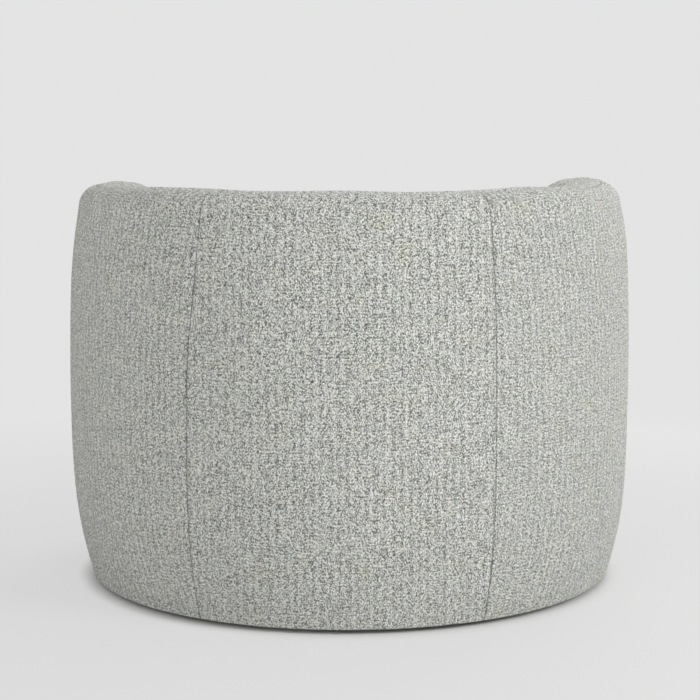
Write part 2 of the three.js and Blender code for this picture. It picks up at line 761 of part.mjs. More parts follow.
function bottomRings(depth) {
  const { seamTuck, restInset, seamRise } = cushion;
  const turn = [[seamTuck, seamRise], [mix(seamTuck, restInset, 0.4), seamRise * 0.3], [restInset, 0]];
  const edge = turn.map(([inset, rise]) =>
    ovalRing(seatOval, inset + depth).map((point) => xyz(point.x, point.y, cushionFoot + rise + depth)));
  const restShares = [0.6, 0];
  const rest = restShares.map((share) => ovalRing(seatOval, restInset + depth).map((point) =>
    xyz(point.x * share, mix(planCentre, point.y, share), cushionFoot + depth)));
  return [...edge, ...rest];
}

function addCushion() {
  const inner = cushion.cover;
  const core = cushion.cover + jointGap;
  add("cushion_top_panel", slab(topRings(0), topRings(inner), true), "cloth");
  const trim = cushion.cover + jointGap;
  add("cushion_boxing", slab(boxingRings(0, trim), boxingRings(inner, trim), true), "cloth");
  const zipY = planCentre + zipBack;
  const recess = box(
    xyz(-zipLength / 2, zipY - zip.width / 2, cushionFoot - zip.depth),
    xyz(zipLength / 2, zipY + zip.width / 2, cushionFoot + zip.depth),
  );
  add("cushion_bottom_panel", cutAway(slab(bottomRings(0), bottomRings(inner), true), recess), "cloth");
  const rings = [...topRings(core), ...boxingRings(core, trim).slice(1, -1), ...bottomRings(core)];
  add("cushion_foam", lofted(rings), "foam");
}

// The zip's slider starts at the closed end of the recess under the cushion
const slider = { body: 9, tail: 5, length: 24, thickness: 1.2, eye: 1.3, eyeInset: 5 };

function addZipSlider() {
  const half = slider.body / 2;
  const shape = new THREE.Shape();
  shape.moveTo(0, -half);
  shape.lineTo(slider.body, -half);
  shape.lineTo(slider.length, -slider.tail / 2);
  shape.lineTo(slider.length, slider.tail / 2);
  shape.lineTo(slider.body, half);
  shape.lineTo(0, half);
  const eye = new THREE.Path();
  eye.absarc(slider.length - slider.eyeInset, 0, slider.eye, 0, fullTurn);
  shape.holes = [eye];
  const curveSegments = 5;
  const body = new THREE.ExtrudeGeometry(shape, { depth: slider.thickness, bevelEnabled: false, curveSegments });
  const piece = add("zip_slider", body, "zip");
  const start = zipLength / 2 - jointGap - slider.length;
  piece.position.set(start, planCentre + zipBack, cushionFoot + jointGap);
}

addBase();
addDustCover();
addGlides();
addRibs();
addTopRail();
addLiners();
addSeatFrame();
addDeckPanel();
addSprings();
addDeck();
addWallFoams();
addArmFronts();
addSeatFront();
addOuterCovers();
addInsideCovers();
addCushion();
addZipSlider();

export default chair;
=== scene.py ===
"""A low tub chair in pale boucle: its looks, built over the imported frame.

Lengths are metres in the frame of the CAD part: +Z up, the chair faces -Y, and left is +X.
"""

import json
import logging
import math
from dataclasses import dataclass, field
from enum import Enum, IntEnum

import bmesh
import bpy
import numpy as np
from mathutils import Matrix, Vector

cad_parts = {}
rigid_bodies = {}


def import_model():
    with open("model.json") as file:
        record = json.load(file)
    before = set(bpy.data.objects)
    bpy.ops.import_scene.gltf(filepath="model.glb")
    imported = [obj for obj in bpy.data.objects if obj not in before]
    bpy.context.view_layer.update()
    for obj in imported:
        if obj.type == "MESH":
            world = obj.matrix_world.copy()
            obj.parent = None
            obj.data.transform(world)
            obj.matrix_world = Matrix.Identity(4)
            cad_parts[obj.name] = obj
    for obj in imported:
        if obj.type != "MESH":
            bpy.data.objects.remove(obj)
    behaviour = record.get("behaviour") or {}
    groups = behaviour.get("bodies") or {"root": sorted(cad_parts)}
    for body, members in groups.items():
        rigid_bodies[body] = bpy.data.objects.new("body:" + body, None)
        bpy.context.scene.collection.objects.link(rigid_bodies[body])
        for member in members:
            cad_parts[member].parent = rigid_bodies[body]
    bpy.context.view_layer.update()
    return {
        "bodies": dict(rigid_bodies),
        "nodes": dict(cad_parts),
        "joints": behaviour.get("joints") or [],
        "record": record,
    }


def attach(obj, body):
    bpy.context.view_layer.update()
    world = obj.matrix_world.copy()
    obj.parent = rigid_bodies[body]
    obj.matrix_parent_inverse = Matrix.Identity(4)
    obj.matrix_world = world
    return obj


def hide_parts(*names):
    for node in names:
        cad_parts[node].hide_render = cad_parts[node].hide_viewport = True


LOG = logging.getLogger("tub_chair")

Array = np.ndarray
Socket = bpy.types.NodeSocket
Colour = tuple[float, float, float, float]

MM = 0.001
WELD = 1e-6
DEGREE = math.pi / 180.0
QUARTER_TURN = 90.0 * DEGREE
HALF_TURN = 180.0 * DEGREE
FULL_TURN = 360.0 * DEGREE
LEVEL = np.array([1.0, 1.0, 0.0])
HASH_PRIMES = (0x9E3779B1, 0x85EBCA77, 0xC2B2AE3D)
HASH_MIXER = 0xFF51AFD7ED558CCD
HASH_SHIFT = 33
HASH_BITS = 24
ASKEW = np.array([[0.36, 0.48, -0.8], [-0.8, 0.6, 0.0], [0.48, 0.64, 0.6]])


class Side(Enum):
    """The sitter's left or right, as the sign of X."""

    LEFT = 1
    RIGHT = -1

    @property
    def label(self) -> str:
        """The word that ends the names of this side's pieces."""
        return self.name.lower()


class Body(Enum):
    """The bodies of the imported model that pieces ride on."""

    CHAIR = "chair"
    CUSHION = "cushion"


class Seed(IntEnum):
    """Seeds of the random numbers; the pieces of a side add its sign to theirs."""

    OUTER_BACK = 11
    OUTER_SIDE = 20
    INSIDE_BACK = 31
    INSIDE_ARM = 40
    ARM_FRONT = 50
    SEAT_FRONT = 61
    CUSHION = 71
    DECK = 81
    FLEECE = 91


class Slot(Enum):
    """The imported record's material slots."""

    CLOTH = "cloth"
    LINING = "lining"
    WIRE = "wire"
    ZIP = "zip"


# Arithmetic on whole arrays


def signed_power(value: Array, power: float) -> Array:
    """The size of each value raised to a power, with its sign kept."""
    return np.sign(value) * np.abs(value) ** power


def mixed(start: Array, end: Array, share: Array) -> Array:
    """The value that lies at a share of the way from start to end."""
    return start + (end - start) * share


def eased(low: float, high: float, value: Array) -> Array:
    """A smooth step: 0 below low, 1 above high, and 3t^2 - 2t^3 between them."""
    share = np.clip((value - low) / (high - low), 0.0, 1.0)
    return share * share * (3.0 - 2.0 * share)


def unit(vectors: Array) -> Array:
    """The same vectors at a length of 1."""
    return vectors / np.maximum(np.linalg.norm(vectors, axis=-1, keepdims=True), 1e-12)


def travelled(line: Array) -> Array:
    """The length of a line of points from its start to each of its points."""
    steps = np.linalg.norm(np.diff(line, axis=0), axis=1)
    return np.concatenate([[0.0], np.cumsum(steps)])


def respaced(parameter: Array, line: Array, spacing: float) -> tuple[Array, Array]:
    """Values of a parameter whose points lie evenly along a line.

    Args:
        parameter: the parameter of each point of the line.
        line: the points, one a row.
        spacing: the distance wanted between neighbours.

    Returns:
        The parameter's values, both ends included, and the length of the line up to each.
    """
    run = travelled(line)
    even = np.linspace(0.0, run[-1], max(round(run[-1] / spacing), 3) + 1)
    return np.interp(even, run, parameter), even


def hashed(cells: Array, seed: int) -> Array:
    """Random numbers from 0 to 1, one for each whole-numbered cell.

    The cell's numbers, each times its own prime, are mixed by shifts and multiplications, and the
    result is a share of the largest whole number.

    Args:
        cells: whole numbers, with the cell's axes last.
        seed: another seed gives other numbers.

    Returns:
        One number for each cell.
    """
    shift = np.uint64(HASH_SHIFT)
    value = np.full(cells.shape[:-1], seed, np.uint64)
    for axis in range(cells.shape[-1]):
        number = cells[..., axis].astype(np.int64).astype(np.uint64)
        value ^= number * np.uint64(HASH_PRIMES[axis])
        value ^= value >> shift
        value *= np.uint64(HASH_MIXER)
        value ^= value >> shift
    return (value >> np.uint64(64 - HASH_BITS)).astype(np.float64) / 2.0**HASH_BITS


def cloudy(places: Array, cell: float, seed: int) -> Array:
    """Smooth noise from -1 to 1: random numbers at a lattice's corners, eased between them.

    The lattice is turned askew, so that its lines never run along a seam or a rim.

    Args:
        places: points.
        cell: the lattice's spacing.
        seed: another seed gives other noise.

    Returns:
        One number for each place.
    """
    scaled = places @ ASKEW / cell
    base = np.floor(scaled)
    weight = eased(0.0, 1.0, scaled - base)
    total = np.zeros(places.shape[:-1])
    for corner in np.ndindex(*(2,) * places.shape[-1]):
        share = np.prod(np.where(np.array(corner) == 1, weight, 1.0 - weight), axis=-1)
        total += share * hashed(base + np.array(corner), seed)
    return 2.0 * total - 1.0


def flat_places(points: Array) -> Array:
    """Where each point of a grid lies on the flat cloth.

    The first number is the distance along the row from its middle point, and the second is the
    distance up the column from its first point, so the weave is nowhere stretched.

    Args:
        points: rows by columns by 3.

    Returns:
        Rows by columns by 2.
    """
    along = np.zeros(points.shape[:2])
    along[:, 1:] = np.cumsum(np.linalg.norm(np.diff(points, axis=1), axis=-1), axis=1)
    along -= along[:, points.shape[1] // 2, None]
    up = np.zeros(points.shape[:2])
    up[1:] = np.cumsum(np.linalg.norm(np.diff(points, axis=0), axis=-1), axis=0)
    return np.stack([along, up], axis=-1)


def grid_normals(points: Array, behind: Array) -> Array:
    """Unit normals of a grid of points, facing away from the points behind it.

    The normal is the cross product of the central differences along the rows and the columns.

    Args:
        points: rows by columns of points.
        behind: points that lie behind the surface.

    Returns:
        Rows by columns of unit vectors.
    """
    normals = unit(np.cross(np.gradient(points, axis=1), np.gradient(points, axis=0)))
    facing = np.sum(normals * (points - behind), axis=-1)
    return normals * np.sign(facing.sum())


def turns(count: int) -> Array:
    """Angles at even steps round a full turn, from 0."""
    return np.linspace(0.0, FULL_TURN, count, endpoint=False)


def upright(plan: Array, z: Array) -> Array:
    """Points from their places in plan and their heights, which may be one for a row or for all."""
    return np.concatenate([plan, np.broadcast_to(z, plan.shape[:-1])[..., None]], axis=-1)


def points_at(at: Array, run: Array, line: Array) -> Array:
    """Points of a line at distances from its start.

    Args:
        at: the distances wanted.
        run: the distance of each point of the line.
        line: the points, one a row.

    Returns:
        One point a row.
    """
    return np.stack([np.interp(at, run, column) for column in line.T], axis=-1)


# Surfaces and the meshes made of them


@dataclass
class Surface:
    """A grid of points, with what the cloth on it needs to know.

    Attributes:
        points: rows by columns of points.
        weave: rows by columns of places on the flat cloth, in metres.
        seam: rows by columns of distances from the nearest sewn edge.
        behind: points that lie behind the surface.
        relief: rows of the share of the cloth's relief that is left there.
        pole: True where the last row is one point.
    """

    points: Array
    weave: Array
    seam: Array
    behind: Array
    relief: Array
    pole: bool = False


def grid_faces(rows: int, columns: int, ring: bool) -> Array:
    """Corner numbers of the four-sided faces of a grid whose points are numbered row by row.

    Args:
        rows: rows of points.
        columns: points of one row.
        ring: True where the last column runs on into the first.

    Returns:
        Four corner numbers a row.
    """
    spans = columns if ring else columns - 1
    row, column = np.meshgrid(np.arange(rows - 1), np.arange(spans), indexing="ij")
    after = (column + 1) % columns
    low, high = row * columns, (row + 1) * columns
    corners = np.stack([low + column, low + after, high + after, high + column], axis=-1)
    return corners.reshape(-1, 4)


def mesh_of(name: str, points: Array, faces: Array) -> bpy.types.Mesh:
    """A smooth mesh from points and four-cornered faces.

    Args:
        name: the mesh's name.
        points: one point a row.
        faces: four corner numbers a row.

    Returns:
        The mesh.
    """
    mesh = bpy.data.meshes.new(name)
    mesh.vertices.add(len(points))
    mesh.vertices.foreach_set("co", points.astype(np.float32).ravel())
    mesh.loops.add(faces.size)
    mesh.loops.foreach_set("vertex_index", faces.astype(np.int32).ravel())
    mesh.polygons.add(len(faces))
    mesh.polygons.foreach_set("loop_start", np.arange(0, faces.size, 4, dtype=np.int32))
    mesh.polygons.foreach_set("use_smooth", np.ones(len(faces), bool))
    mesh.update(calc_edges=True)
    return mesh


def set_numbers(mesh: bpy.types.Mesh, name: str, values: Array) -> None:
    """Stores a number or a vector for each point of a mesh under a name."""
    vector = values.ndim == 2
    attribute = mesh.attributes.new(name, "FLOAT_VECTOR" if vector else "FLOAT", "POINT")
    attribute.data.foreach_set("vector" if vector else "value", values.astype(np.float32).ravel())


def read(items: bpy.types.bpy_prop_collection, name: str, width: int) -> Array:
    """The numbers that a mesh's items hold under a name.

    Args:
        items: points or an attribute's values.
        name: the property's name.
        width: how many numbers each item holds.

    Returns:
        One row for each item.
    """
    values = np.zeros(len(items) * width, np.float32)
    items.foreach_get(name, values)
    return values.astype(float).reshape(-1, width)


def places_of(mesh: bpy.types.Mesh) -> Array:
    """The points of a mesh, one a row."""
    return read(mesh.vertices, "co", 3)


def set_places(mesh: bpy.types.Mesh, places: Array) -> None:
    """Moves the points of a mesh to other places."""
    mesh.vertices.foreach_set("co", places.astype(np.float32).ravel())


def object_of(mesh: bpy.types.Mesh) -> bpy.types.Object:
    """An object at the origin that shows a mesh."""
    piece = bpy.data.objects.new(mesh.name, mesh)
    bpy.context.scene.collection.objects.link(piece)
    return piece


def welded(piece: bpy.types.Object, outwards: bool = False) -> bpy.types.Object:
    """The same piece, with points that lie on each other made one, as at a pole.

    Args:
        piece: the piece.
        outwards: True where its faces are also turned to face out.

    Returns:
        The piece.
    """
    work = bmesh.new()
    work.from_mesh(piece.data)
    bmesh.ops.remove_doubles(work, verts=work.verts, dist=WELD)
    if outwards:
        bmesh.ops.recalc_face_normals(work, faces=work.faces)
    work.to_mesh(piece.data)
    work.free()
    piece.data.update()
    return piece


def closed(name: str, rings: Array) -> bpy.types.Object:
    """A closed piece from rings of points, of which the first and the last may be one point."""
    return welded(object_of(mesh_of(name, rings.reshape(-1, 3), grid_faces(*rings.shape[:2], True))))


def repeated(name: str, points: Array, columns: int) -> bpy.types.Object:
    """One piece of many small closed forms.

    Args:
        name: the piece's name.
        points: forms by points, ring after ring.
        columns: points of one ring.

    Returns:
        The piece, its faces turned out.
    """
    count, size = points.shape[:2]
    each = grid_faces(size // columns, columns, True)
    faces = (each + np.arange(count)[:, None, None] * size).reshape(-1, 4)
    return welded(object_of(mesh_of(name, points.reshape(-1, 3), faces)), outwards=True)


def applied(piece: bpy.types.Object, name: str) -> bpy.types.Object:
    """A new object that has a piece's modifiers in its mesh; the old one is removed.

    Args:
        piece: the piece with live modifiers.
        name: the new object's name.

    Returns:
        The new object.
    """
    graph = bpy.context.evaluated_depsgraph_get()
    mesh = bpy.data.meshes.new_from_object(piece.evaluated_get(graph))
    old = piece.data
    bpy.data.objects.remove(piece)
    bpy.data.meshes.remove(old)
    mesh.name = name
    return object_of(mesh)


def triangles_of(mesh: bpy.types.Mesh) -> int:
    """How many triangles a mesh's faces make."""
    return len(mesh.loops) - 2 * len(mesh.polygons)


# Cloth laid on surfaces


@dataclass(frozen=True)
class Boucle:
    """Relief of the boucle cloth: loops, slow waves of the foam under it, and sewn valleys.

    Attributes:
        loop_pitch: distance between the raised loops, across and up the cloth.
        loop_rise: how far the highest loops stand out.
        loop_stray: share of its cell over which a loop may lie.
        loop_fall: how fast a loop falls with the square of the distance from its middle.
        loop_least: share of the full height that the lowest loops have.
        loop_pressed: share of the loops' relief that is left at a seam.
        wave_pitch: length of the slow waves.
        wave_rise: their height.
        seam_depth: how far cloth sinks into a seam.
        seam_width: half width of that valley.
        puff_rise: how far the cloth swells beside a seam.
        puff_place: distance of that swelling from the seam.
        puff_width: half width of that swelling, as a share of its distance.
        turn_in: width of the seam allowance that turns in behind an edge.
        layer_step: from one piece's seed to the next, how far the pattern moves on.
    """

    loop_pitch: tuple[float, float] = (4.4 * MM, 4.8 * MM)
    loop_rise: float = 0.9 * MM
    loop_stray: float = 0.7
    loop_fall: float = 2.0
    loop_least: float = 0.4
    loop_pressed: float = 0.4
    wave_pitch: float = 85 * MM
    wave_rise: float = 0.8 * MM
    seam_depth: float = 1.2 * MM
    seam_width: float = 1.5 * MM
    puff_rise: float = 0.5 * MM
    puff_place: float = 12 * MM
    puff_width: float = 0.6
    turn_in: float = 6 * MM
    layer_step: float = 0.37

    def loops(self, weave: Array, seed: int) -> Array:
        """Heights of the raised loops, from 0 to 1.

        Each cell of the cloth holds one loop at a random place. The height falls from 1 with the
        square of the distance to the nearest loop, times a random size of that loop.

        Args:
            weave: places on the flat cloth.
            seed: another seed gives another pattern.

        Returns:
            One height for each place.
        """
        scaled = weave / np.array(self.loop_pitch)
        base = np.floor(scaled)
        nearest = np.full(base.shape[:-1], np.inf)
        size = np.zeros(base.shape[:-1])
        for step in np.ndindex(3, 3):
            cell = base + np.array(step) - 1.0
            stray = np.stack([hashed(cell, seed), hashed(cell, seed + 1)], axis=-1) - 0.5
            gap = np.sum((cell + 0.5 + self.loop_stray * stray - scaled) ** 2, axis=-1)
            closer = gap < nearest
            nearest = np.where(closer, gap, nearest)
            size = np.where(closer, hashed(cell, seed + 2), size)
        return mixed(self.loop_least, 1.0, size) * np.clip(1.0 - self.loop_fall * nearest, 0.0, 1.0)

    def valley(self, seam: Array) -> Array:
        """Height of the cloth by its distance from a seam: a sunk bell and a low swelling beside it."""
        sunk = self.seam_depth * np.exp(-((seam / self.seam_width) ** 2))
        away = (seam - self.puff_place) / (self.puff_width * self.puff_place)
        return self.puff_rise * np.exp(-(away**2)) - sunk

    def relief(self, points: Array, weave: Array, seam: Array, seed: int) -> tuple[Array, Array]:
        """How far each point moves along its normal, and the height of its loop.

        Args:
            points: the bare surface.
            weave: places on the flat cloth.
            seam: distances from the nearest seam.
            seed: the piece's own seed.

        Returns:
            The move, and the loop's height from 0 to 1.
        """
        loop = self.loops(weave, seed)
        wave = self.wave_rise * cloudy(points, self.wave_pitch, seed)
        fade = eased(0.0, self.puff_place, seam)
        raised = (loop - 0.5) * self.loop_rise * mixed(self.loop_pressed, 1.0, fade)
        return raised + wave * fade + self.valley(seam), loop

    def laid(self, name: str, surface: Surface, seed: int) -> bpy.types.Object:
        """A piece of boucle on a surface, its edges turned in.

        Args:
            name: the piece's name.
            surface: what it lies on.
            seed: the piece's own seed.

        Returns:
            The piece.
        """
        normals = grid_normals(surface.points, surface.behind)
        move, loop = self.relief(surface.points, surface.weave, surface.seam, seed)
        points = surface.points + normals * (move * surface.relief[:, None])[..., None]
        if surface.pole:
            points[-1] = points[-1].mean(axis=0)
        border = ((1, 0 if surface.pole else 1), (1, 1))
        wide = (*border, (0, 0))
        inwards = np.pad(np.zeros(loop.shape), border, constant_values=self.turn_in)
        grown = np.pad(points, wide, mode="edge") - np.pad(normals, wide, mode="edge") * inwards[..., None]
        faces = grid_faces(*grown.shape[:2], False)
        if turns_inward(surface.points, normals):
            faces = faces[:, ::-1]
        mesh = mesh_of(name, grown.reshape(-1, 3), faces)
        flat = np.pad(surface.weave, wide, mode="edge")
        set_numbers(mesh, "weave", upright(flat, seed * self.layer_step).reshape(-1, 3))
        set_numbers(mesh, "loop", np.pad(loop, border).ravel())
        set_numbers(mesh, "seam", np.pad(surface.seam, border).ravel())
        piece = object_of(mesh)
        return welded(piece) if surface.pole else piece


def turns_inward(points: Array, normals: Array) -> bool:
    """True where the faces of a grid face against its normals, judged in the middle of the grid.

    Args:
        points: rows by columns of points.
        normals: the normal at each.

    Returns:
        True or False.
    """
    row, column = points.shape[0] // 2, points.shape[1] // 2
    along = points[row, column + 1] - points[row, column]
    up = points[row + 1, column] - points[row, column]
    return bool(np.dot(np.cross(along, up), normals[row, column]) < 0.0)


# The lines and sections that the chair's surfaces follow


@dataclass(frozen=True)
class Oval:
    """A closed line in plan: two half ovals that meet at the widest line.

    Attributes:
        half_width: half of the widest line.
        back_reach: from that line back.
        front_reach: from that line forward.
        back_fullness: the power of the back half; 2 is a plain ellipse.
        front_fullness: the power of the front half.
        centre: Y of the widest line.
    """

    half_width: float
    back_reach: float
    front_reach: float
    back_fullness: float = 2.0
    front_fullness: float = 2.5
    centre: float = -80 * MM

    def line(self, angle: Array, inset: Array = 0.0) -> tuple[Array, Array]:
        """Points of the line, and the ways it faces there.

        X is the half width times the sine raised to 2 over the fullness, Y is the reach times the
        cosine raised likewise, and the facing is the gradient of the oval's own equation.

        Args:
            angle: angles from the back, growing towards +X.
            inset: how much smaller the oval is all round.

        Returns:
            Points and unit vectors, both with X and Y last.
        """
        ahead = np.cos(angle) < 0.0
        fullness = np.where(ahead, self.front_fullness, self.back_fullness)
        half_width = self.half_width - inset
        reach = np.where(ahead, self.front_reach, self.back_reach) - inset
        across = signed_power(np.sin(angle), 2.0 / fullness)
        along = signed_power(np.cos(angle), 2.0 / fullness)
        facing = np.stack(
            [
                signed_power(across, fullness - 1.0) / half_width,
                signed_power(along, fullness - 1.0) / reach,
            ],
            axis=-1,
        )
        points = np.stack([across * half_width, along * reach + self.centre], axis=-1)
        return points, unit(facing)

    def inset_of(self, points: Array) -> Array:
        """How far points lie inside the line, along the way from the middle to the line.

        The share of the way is the sum of X over the half width and Y over the reach, each raised
        to the fullness, brought back by its root.

        Args:
            points: points with X and Y first.

        Returns:
            Distances, below 0 outside the line.
        """
        x, y = np.abs(points[..., 0]), points[..., 1] - self.centre
        ahead = y < 0.0
        fullness = np.where(ahead, self.front_fullness, self.back_fullness)
        reach = np.where(ahead, self.front_reach, self.back_reach)
        total = (x / self.half_width) ** fullness + (np.abs(y) / reach) ** fullness
        share = np.maximum(total, 1e-9) ** (1.0 / fullness)
        return np.hypot(x, y) * (1.0 / share - 1.0)


WALL_OVAL = Oval(480 * MM, 500 * MM, 470 * MM)
SEAT_OVAL = Oval(287 * MM, 307 * MM, 340 * MM, front_fullness=2.05)
SEAT_MIDDLE = np.array([0.0, SEAT_OVAL.centre])
OUTER_SEAM = 28.5 * DEGREE
ARM_END = 115 * DEGREE
INSIDE_SEAM = mixed(OUTER_SEAM, ARM_END, 3 / 11)
CREST = 3.0
DECK_END = 6.0
ANGLE_STEPS = 400
PATH_STEPS = 600
SWING_STEPS = 200
LID_EDGE_POINTS = 9


@dataclass(frozen=True)
class Slack:
    """The wall's small errors: leaning seams, an uneven rim and patches of thick and thin foam.

    Attributes:
        lean_heights: heights in millimetres where the left seam's lean is given.
        left_leans: the left seam's lean at each, in degrees.
        right_lean: the right seam's lean, in degrees.
        swell_angles: angles in degrees where the rim's swelling is given.
        swells: the rim's swelling at each, in millimetres.
        patches: angle, height and rise of each patch of foam.
        patch_size: angle and height over which a patch fades.
    """

    lean_heights: tuple[float, ...] = (81.0, 291.0, 391.0, 448.0, 502.0, 557.0, 611.0)
    left_leans: tuple[float, ...] = (1.86, 1.56, 1.36, 0.91, 0.26, -0.2, -0.45)
    right_lean: float = 0.44
    swell_angles: tuple[float, ...] = (
        *(-115.0, -100.0, -80.0, -60.0, -42.0, -25.0, -12.0),
        *(0.0, 12.0, 22.0, 34.0, 46.0, 60.0, 90.0),
    )
    swells: tuple[float, ...] = (4.0, 5.0, 2.0, -1.0, 3.5, 0.0, 0.5, 3.0, 2.5, 2.5, 4.5, 5.0, 1.0, 0.0)
    patches: tuple[tuple[float, float, float], ...] = (
        (-92 * DEGREE, 591 * MM, 5 * MM),
        (-92 * DEGREE, 231 * MM, -3 * MM),
    )
    patch_size: tuple[float, float] = (13 * DEGREE, 75 * MM)

    def swell(self, angle: Array) -> Array:
        """How far the rim stands above its even height."""
        return np.interp(angle, np.array(self.swell_angles) * DEGREE, np.array(self.swells) * MM)

    def leaned(self, angle: Array, z: Array) -> Array:
        """Angles with the sewer's small errors: each seam leans a little with its height.

        The whole lean applies at the seam and fades to nothing at the middle of the back and at
        twice the seam's angle.

        Args:
            angle: angles, broadcast against the heights.
            z: heights.

        Returns:
            The leaned angles.
        """
        left = np.interp(z / MM, self.lean_heights, self.left_leans)
        lean = np.where(angle > 0.0, left, -self.right_lean) * DEGREE
        return angle + lean * np.clip(1.0 - np.abs(np.abs(angle) / OUTER_SEAM - 1.0), 0.0, 1.0)

    def stuffing(self, angle: Array, z: Array) -> Array:
        """How far the foam stands out or sinks: one bell over each of the uneven patches.

        Args:
            angle: angles, broadcast against the heights.
            z: heights.

        Returns:
            Distances, below 0 where the foam is thin.
        """
        total = 0.0
        for place, height, rise in self.patches:
            across = (angle - place) / self.patch_size[0]
            up = (z - height) / self.patch_size[1]
            total = total + rise * np.exp(-(across**2) - up**2)
        return total


@dataclass(frozen=True)
class WallShape:
    """The round wall of the chair, with the sizes of the CAD part.

    Attributes:
        height: of the rim's top at the back.
        crown: how far the rim rises from its edges to its middle line.
        floor_gap: height of the base.
        deck_top: height where the inner face ends.
        core_inset: from the wall's line to its middle line.
        widest_height: height where the outer face is widest.
        rim_inset: how far the outer face draws in at the rim.
        foot_inset: the same, at the base.
        inner_inset: from the wall's line to the inner face at the rim.
        seat_inset: the same, at the deck.
        outer_round: radius of the rim's outer edge.
        inner_round: radius of its inner edge.
        slope_start: how far ahead of the widest line the rim starts to fall.
        slope_run: over which distance it falls.
        slope_drop: how far it falls over that distance.
        bulge_power: how the outer face draws in with the height.
        slope_power: how the rim falls with the distance.
        slack: its small errors.
        inside_share: share of the way to the inner face where an inside panel's width is measured.
        blend: from the middle line, the distance over which the foam's patches grow.
        hem_width: how far the cloth runs in under the base.
        hem_in: share of the way to an arm's middle that its hem covers.
        hem_drop: how far it hangs below the base.
        hem_round: size of its turn round the base's edge.
        hem_relief: share of the cloth's relief that is left where it is pressed flat.
        tuck_width: how far the inner face's cloth runs out over the deck.
        tuck_lift: how far it lies above the deck there.
    """

    height: float = 671 * MM
    crown: float = 2 * MM
    floor_gap: float = 8 * MM
    deck_top: float = 255.9 * MM
    core_inset: float = 68 * MM
    widest_height: float = 317 * MM
    rim_inset: float = 27 * MM
    foot_inset: float = 33 * MM
    inner_inset: float = 160 * MM
    seat_inset: float = 190 * MM
    outer_round: float = 36 * MM
    inner_round: float = 76 * MM
    slope_start: float = 75 * MM
    slope_run: float = 160 * MM
    slope_drop: float = 50 * MM
    bulge_power: float = 3.0
    slope_power: float = 1.5
    slack: Slack = Slack()
    inside_share: float = 0.7
    blend: float = 50 * MM
    hem_width: float = 76 * MM
    hem_in: float = 0.97
    hem_drop: float = 0.4 * MM
    hem_round: float = 3.5 * MM
    hem_relief: float = 0.12
    tuck_width: float = 16 * MM
    tuck_lift: float = 0.7 * MM

    @property
    def foot(self) -> float:
        """Height where the outer cloth leaves its turn round the base's edge."""
        return self.floor_gap + self.hem_round

    def rise(self, y: Array) -> Array:
        """Height of the rim by its place: level at the back, falling ahead of the slope's start."""
        ahead = np.maximum(WALL_OVAL.centre - self.slope_start - y, 0.0)
        return self.height - self.crown - self.slope_drop * (ahead / self.slope_run) ** self.slope_power

    def reach(self, inner: bool, z: Array) -> Array:
        """Distance of a face from the wall's middle line at a height.

        The outer face is a barrel that draws in with the cube of the height above and below its
        widest height. The inner face leans out smoothly from the rim to the seat.

        Args:
            inner: True for the face towards the seat.
            z: heights.

        Returns:
            Distances.
        """
        if inner:
            padded = eased(0.0, 1.0, (self.height - z) / (self.height - self.deck_top))
            return mixed(self.inner_inset, self.seat_inset, padded) - self.core_inset
        up = np.maximum(z - self.widest_height, 0.0) / (self.height - self.widest_height)
        down = np.maximum(self.widest_height - z, 0.0) / (self.widest_height - self.floor_gap)
        inset = self.rim_inset * up**self.bulge_power + self.foot_inset * down**self.bulge_power
        return self.core_inset - inset

    def section(self, inner: bool, rise: Array, low: float, level: Array) -> tuple[Array, Array]:
        """A face's distance from the middle line and its height, by level.

        Levels 0 to 1 climb the upright face, 1 to 2 turn round a quarter circle, and 2 to 3 run
        over the top to the middle line.

        Args:
            inner: True for the face towards the seat.
            rise: height of the rim.
            low: height of level 0.
            level: the levels.

        Returns:
            Distances and heights.
        """
        radius = self.inner_round if inner else self.outer_round
        spring = rise - radius
        climb = mixed(low, spring, np.clip(level, 0.0, 1.0))
        swing = np.clip(level - 1.0, 0.0, 1.0) * QUARTER_TURN
        over = np.clip(level - 2.0, 0.0, 1.0)
        turned = self.reach(inner, spring) - radius + radius * np.cos(swing)
        reach = np.where(level <= 1.0, self.reach(inner, climb), turned * (1.0 - over))
        crest = self.crown * (1.0 - (1.0 - over) ** 2)
        return reach, np.where(level <= 1.0, climb, spring + radius * np.sin(swing) + crest)

    def hem(self, spacing: float) -> tuple[Array, Array]:
        """The cloth's path under the base and round its edge: distances in, and heights.

        Args:
            spacing: the distance between points of the path.

        Returns:
            Distances behind the face, at most 0, and heights.
        """
        under = self.floor_gap - self.hem_drop
        path = np.array(
            [
                [-self.hem_width, under],
                [-0.5 * self.hem_round, under],
                [-0.15 * self.hem_round, under + 0.25 * self.hem_round],
                [0.0, self.foot],
            ]
        )
        run = travelled(path)
        at = np.linspace(0.0, run[-1], max(round(run[-1] / spacing), 4) + 1)[:-1]
        back, low = points_at(at, run, path).T
        return back, low

    def middle(self, angle: Array) -> tuple[Array, Array, Array]:
        """The wall's middle line: points, the ways it faces, and the rim's height there."""
        line, facing = WALL_OVAL.line(angle)
        return line - facing * self.core_inset, facing, self.rise(line[..., 1]) + self.slack.swell(angle)

    def path_point(self, number: Array, rise: Array) -> tuple[Array, Array]:
        """Distance from the middle line, below 0 inside it, and height, at path numbers."""
        outer, outer_z = self.section(False, rise, self.floor_gap, np.minimum(number, CREST))
        inner, inner_z = self.section(True, rise, self.deck_top, np.clip(DECK_END - number, 0.0, CREST))
        return np.where(number <= CREST, outer, -inner), np.where(number <= CREST, outer_z, inner_z)

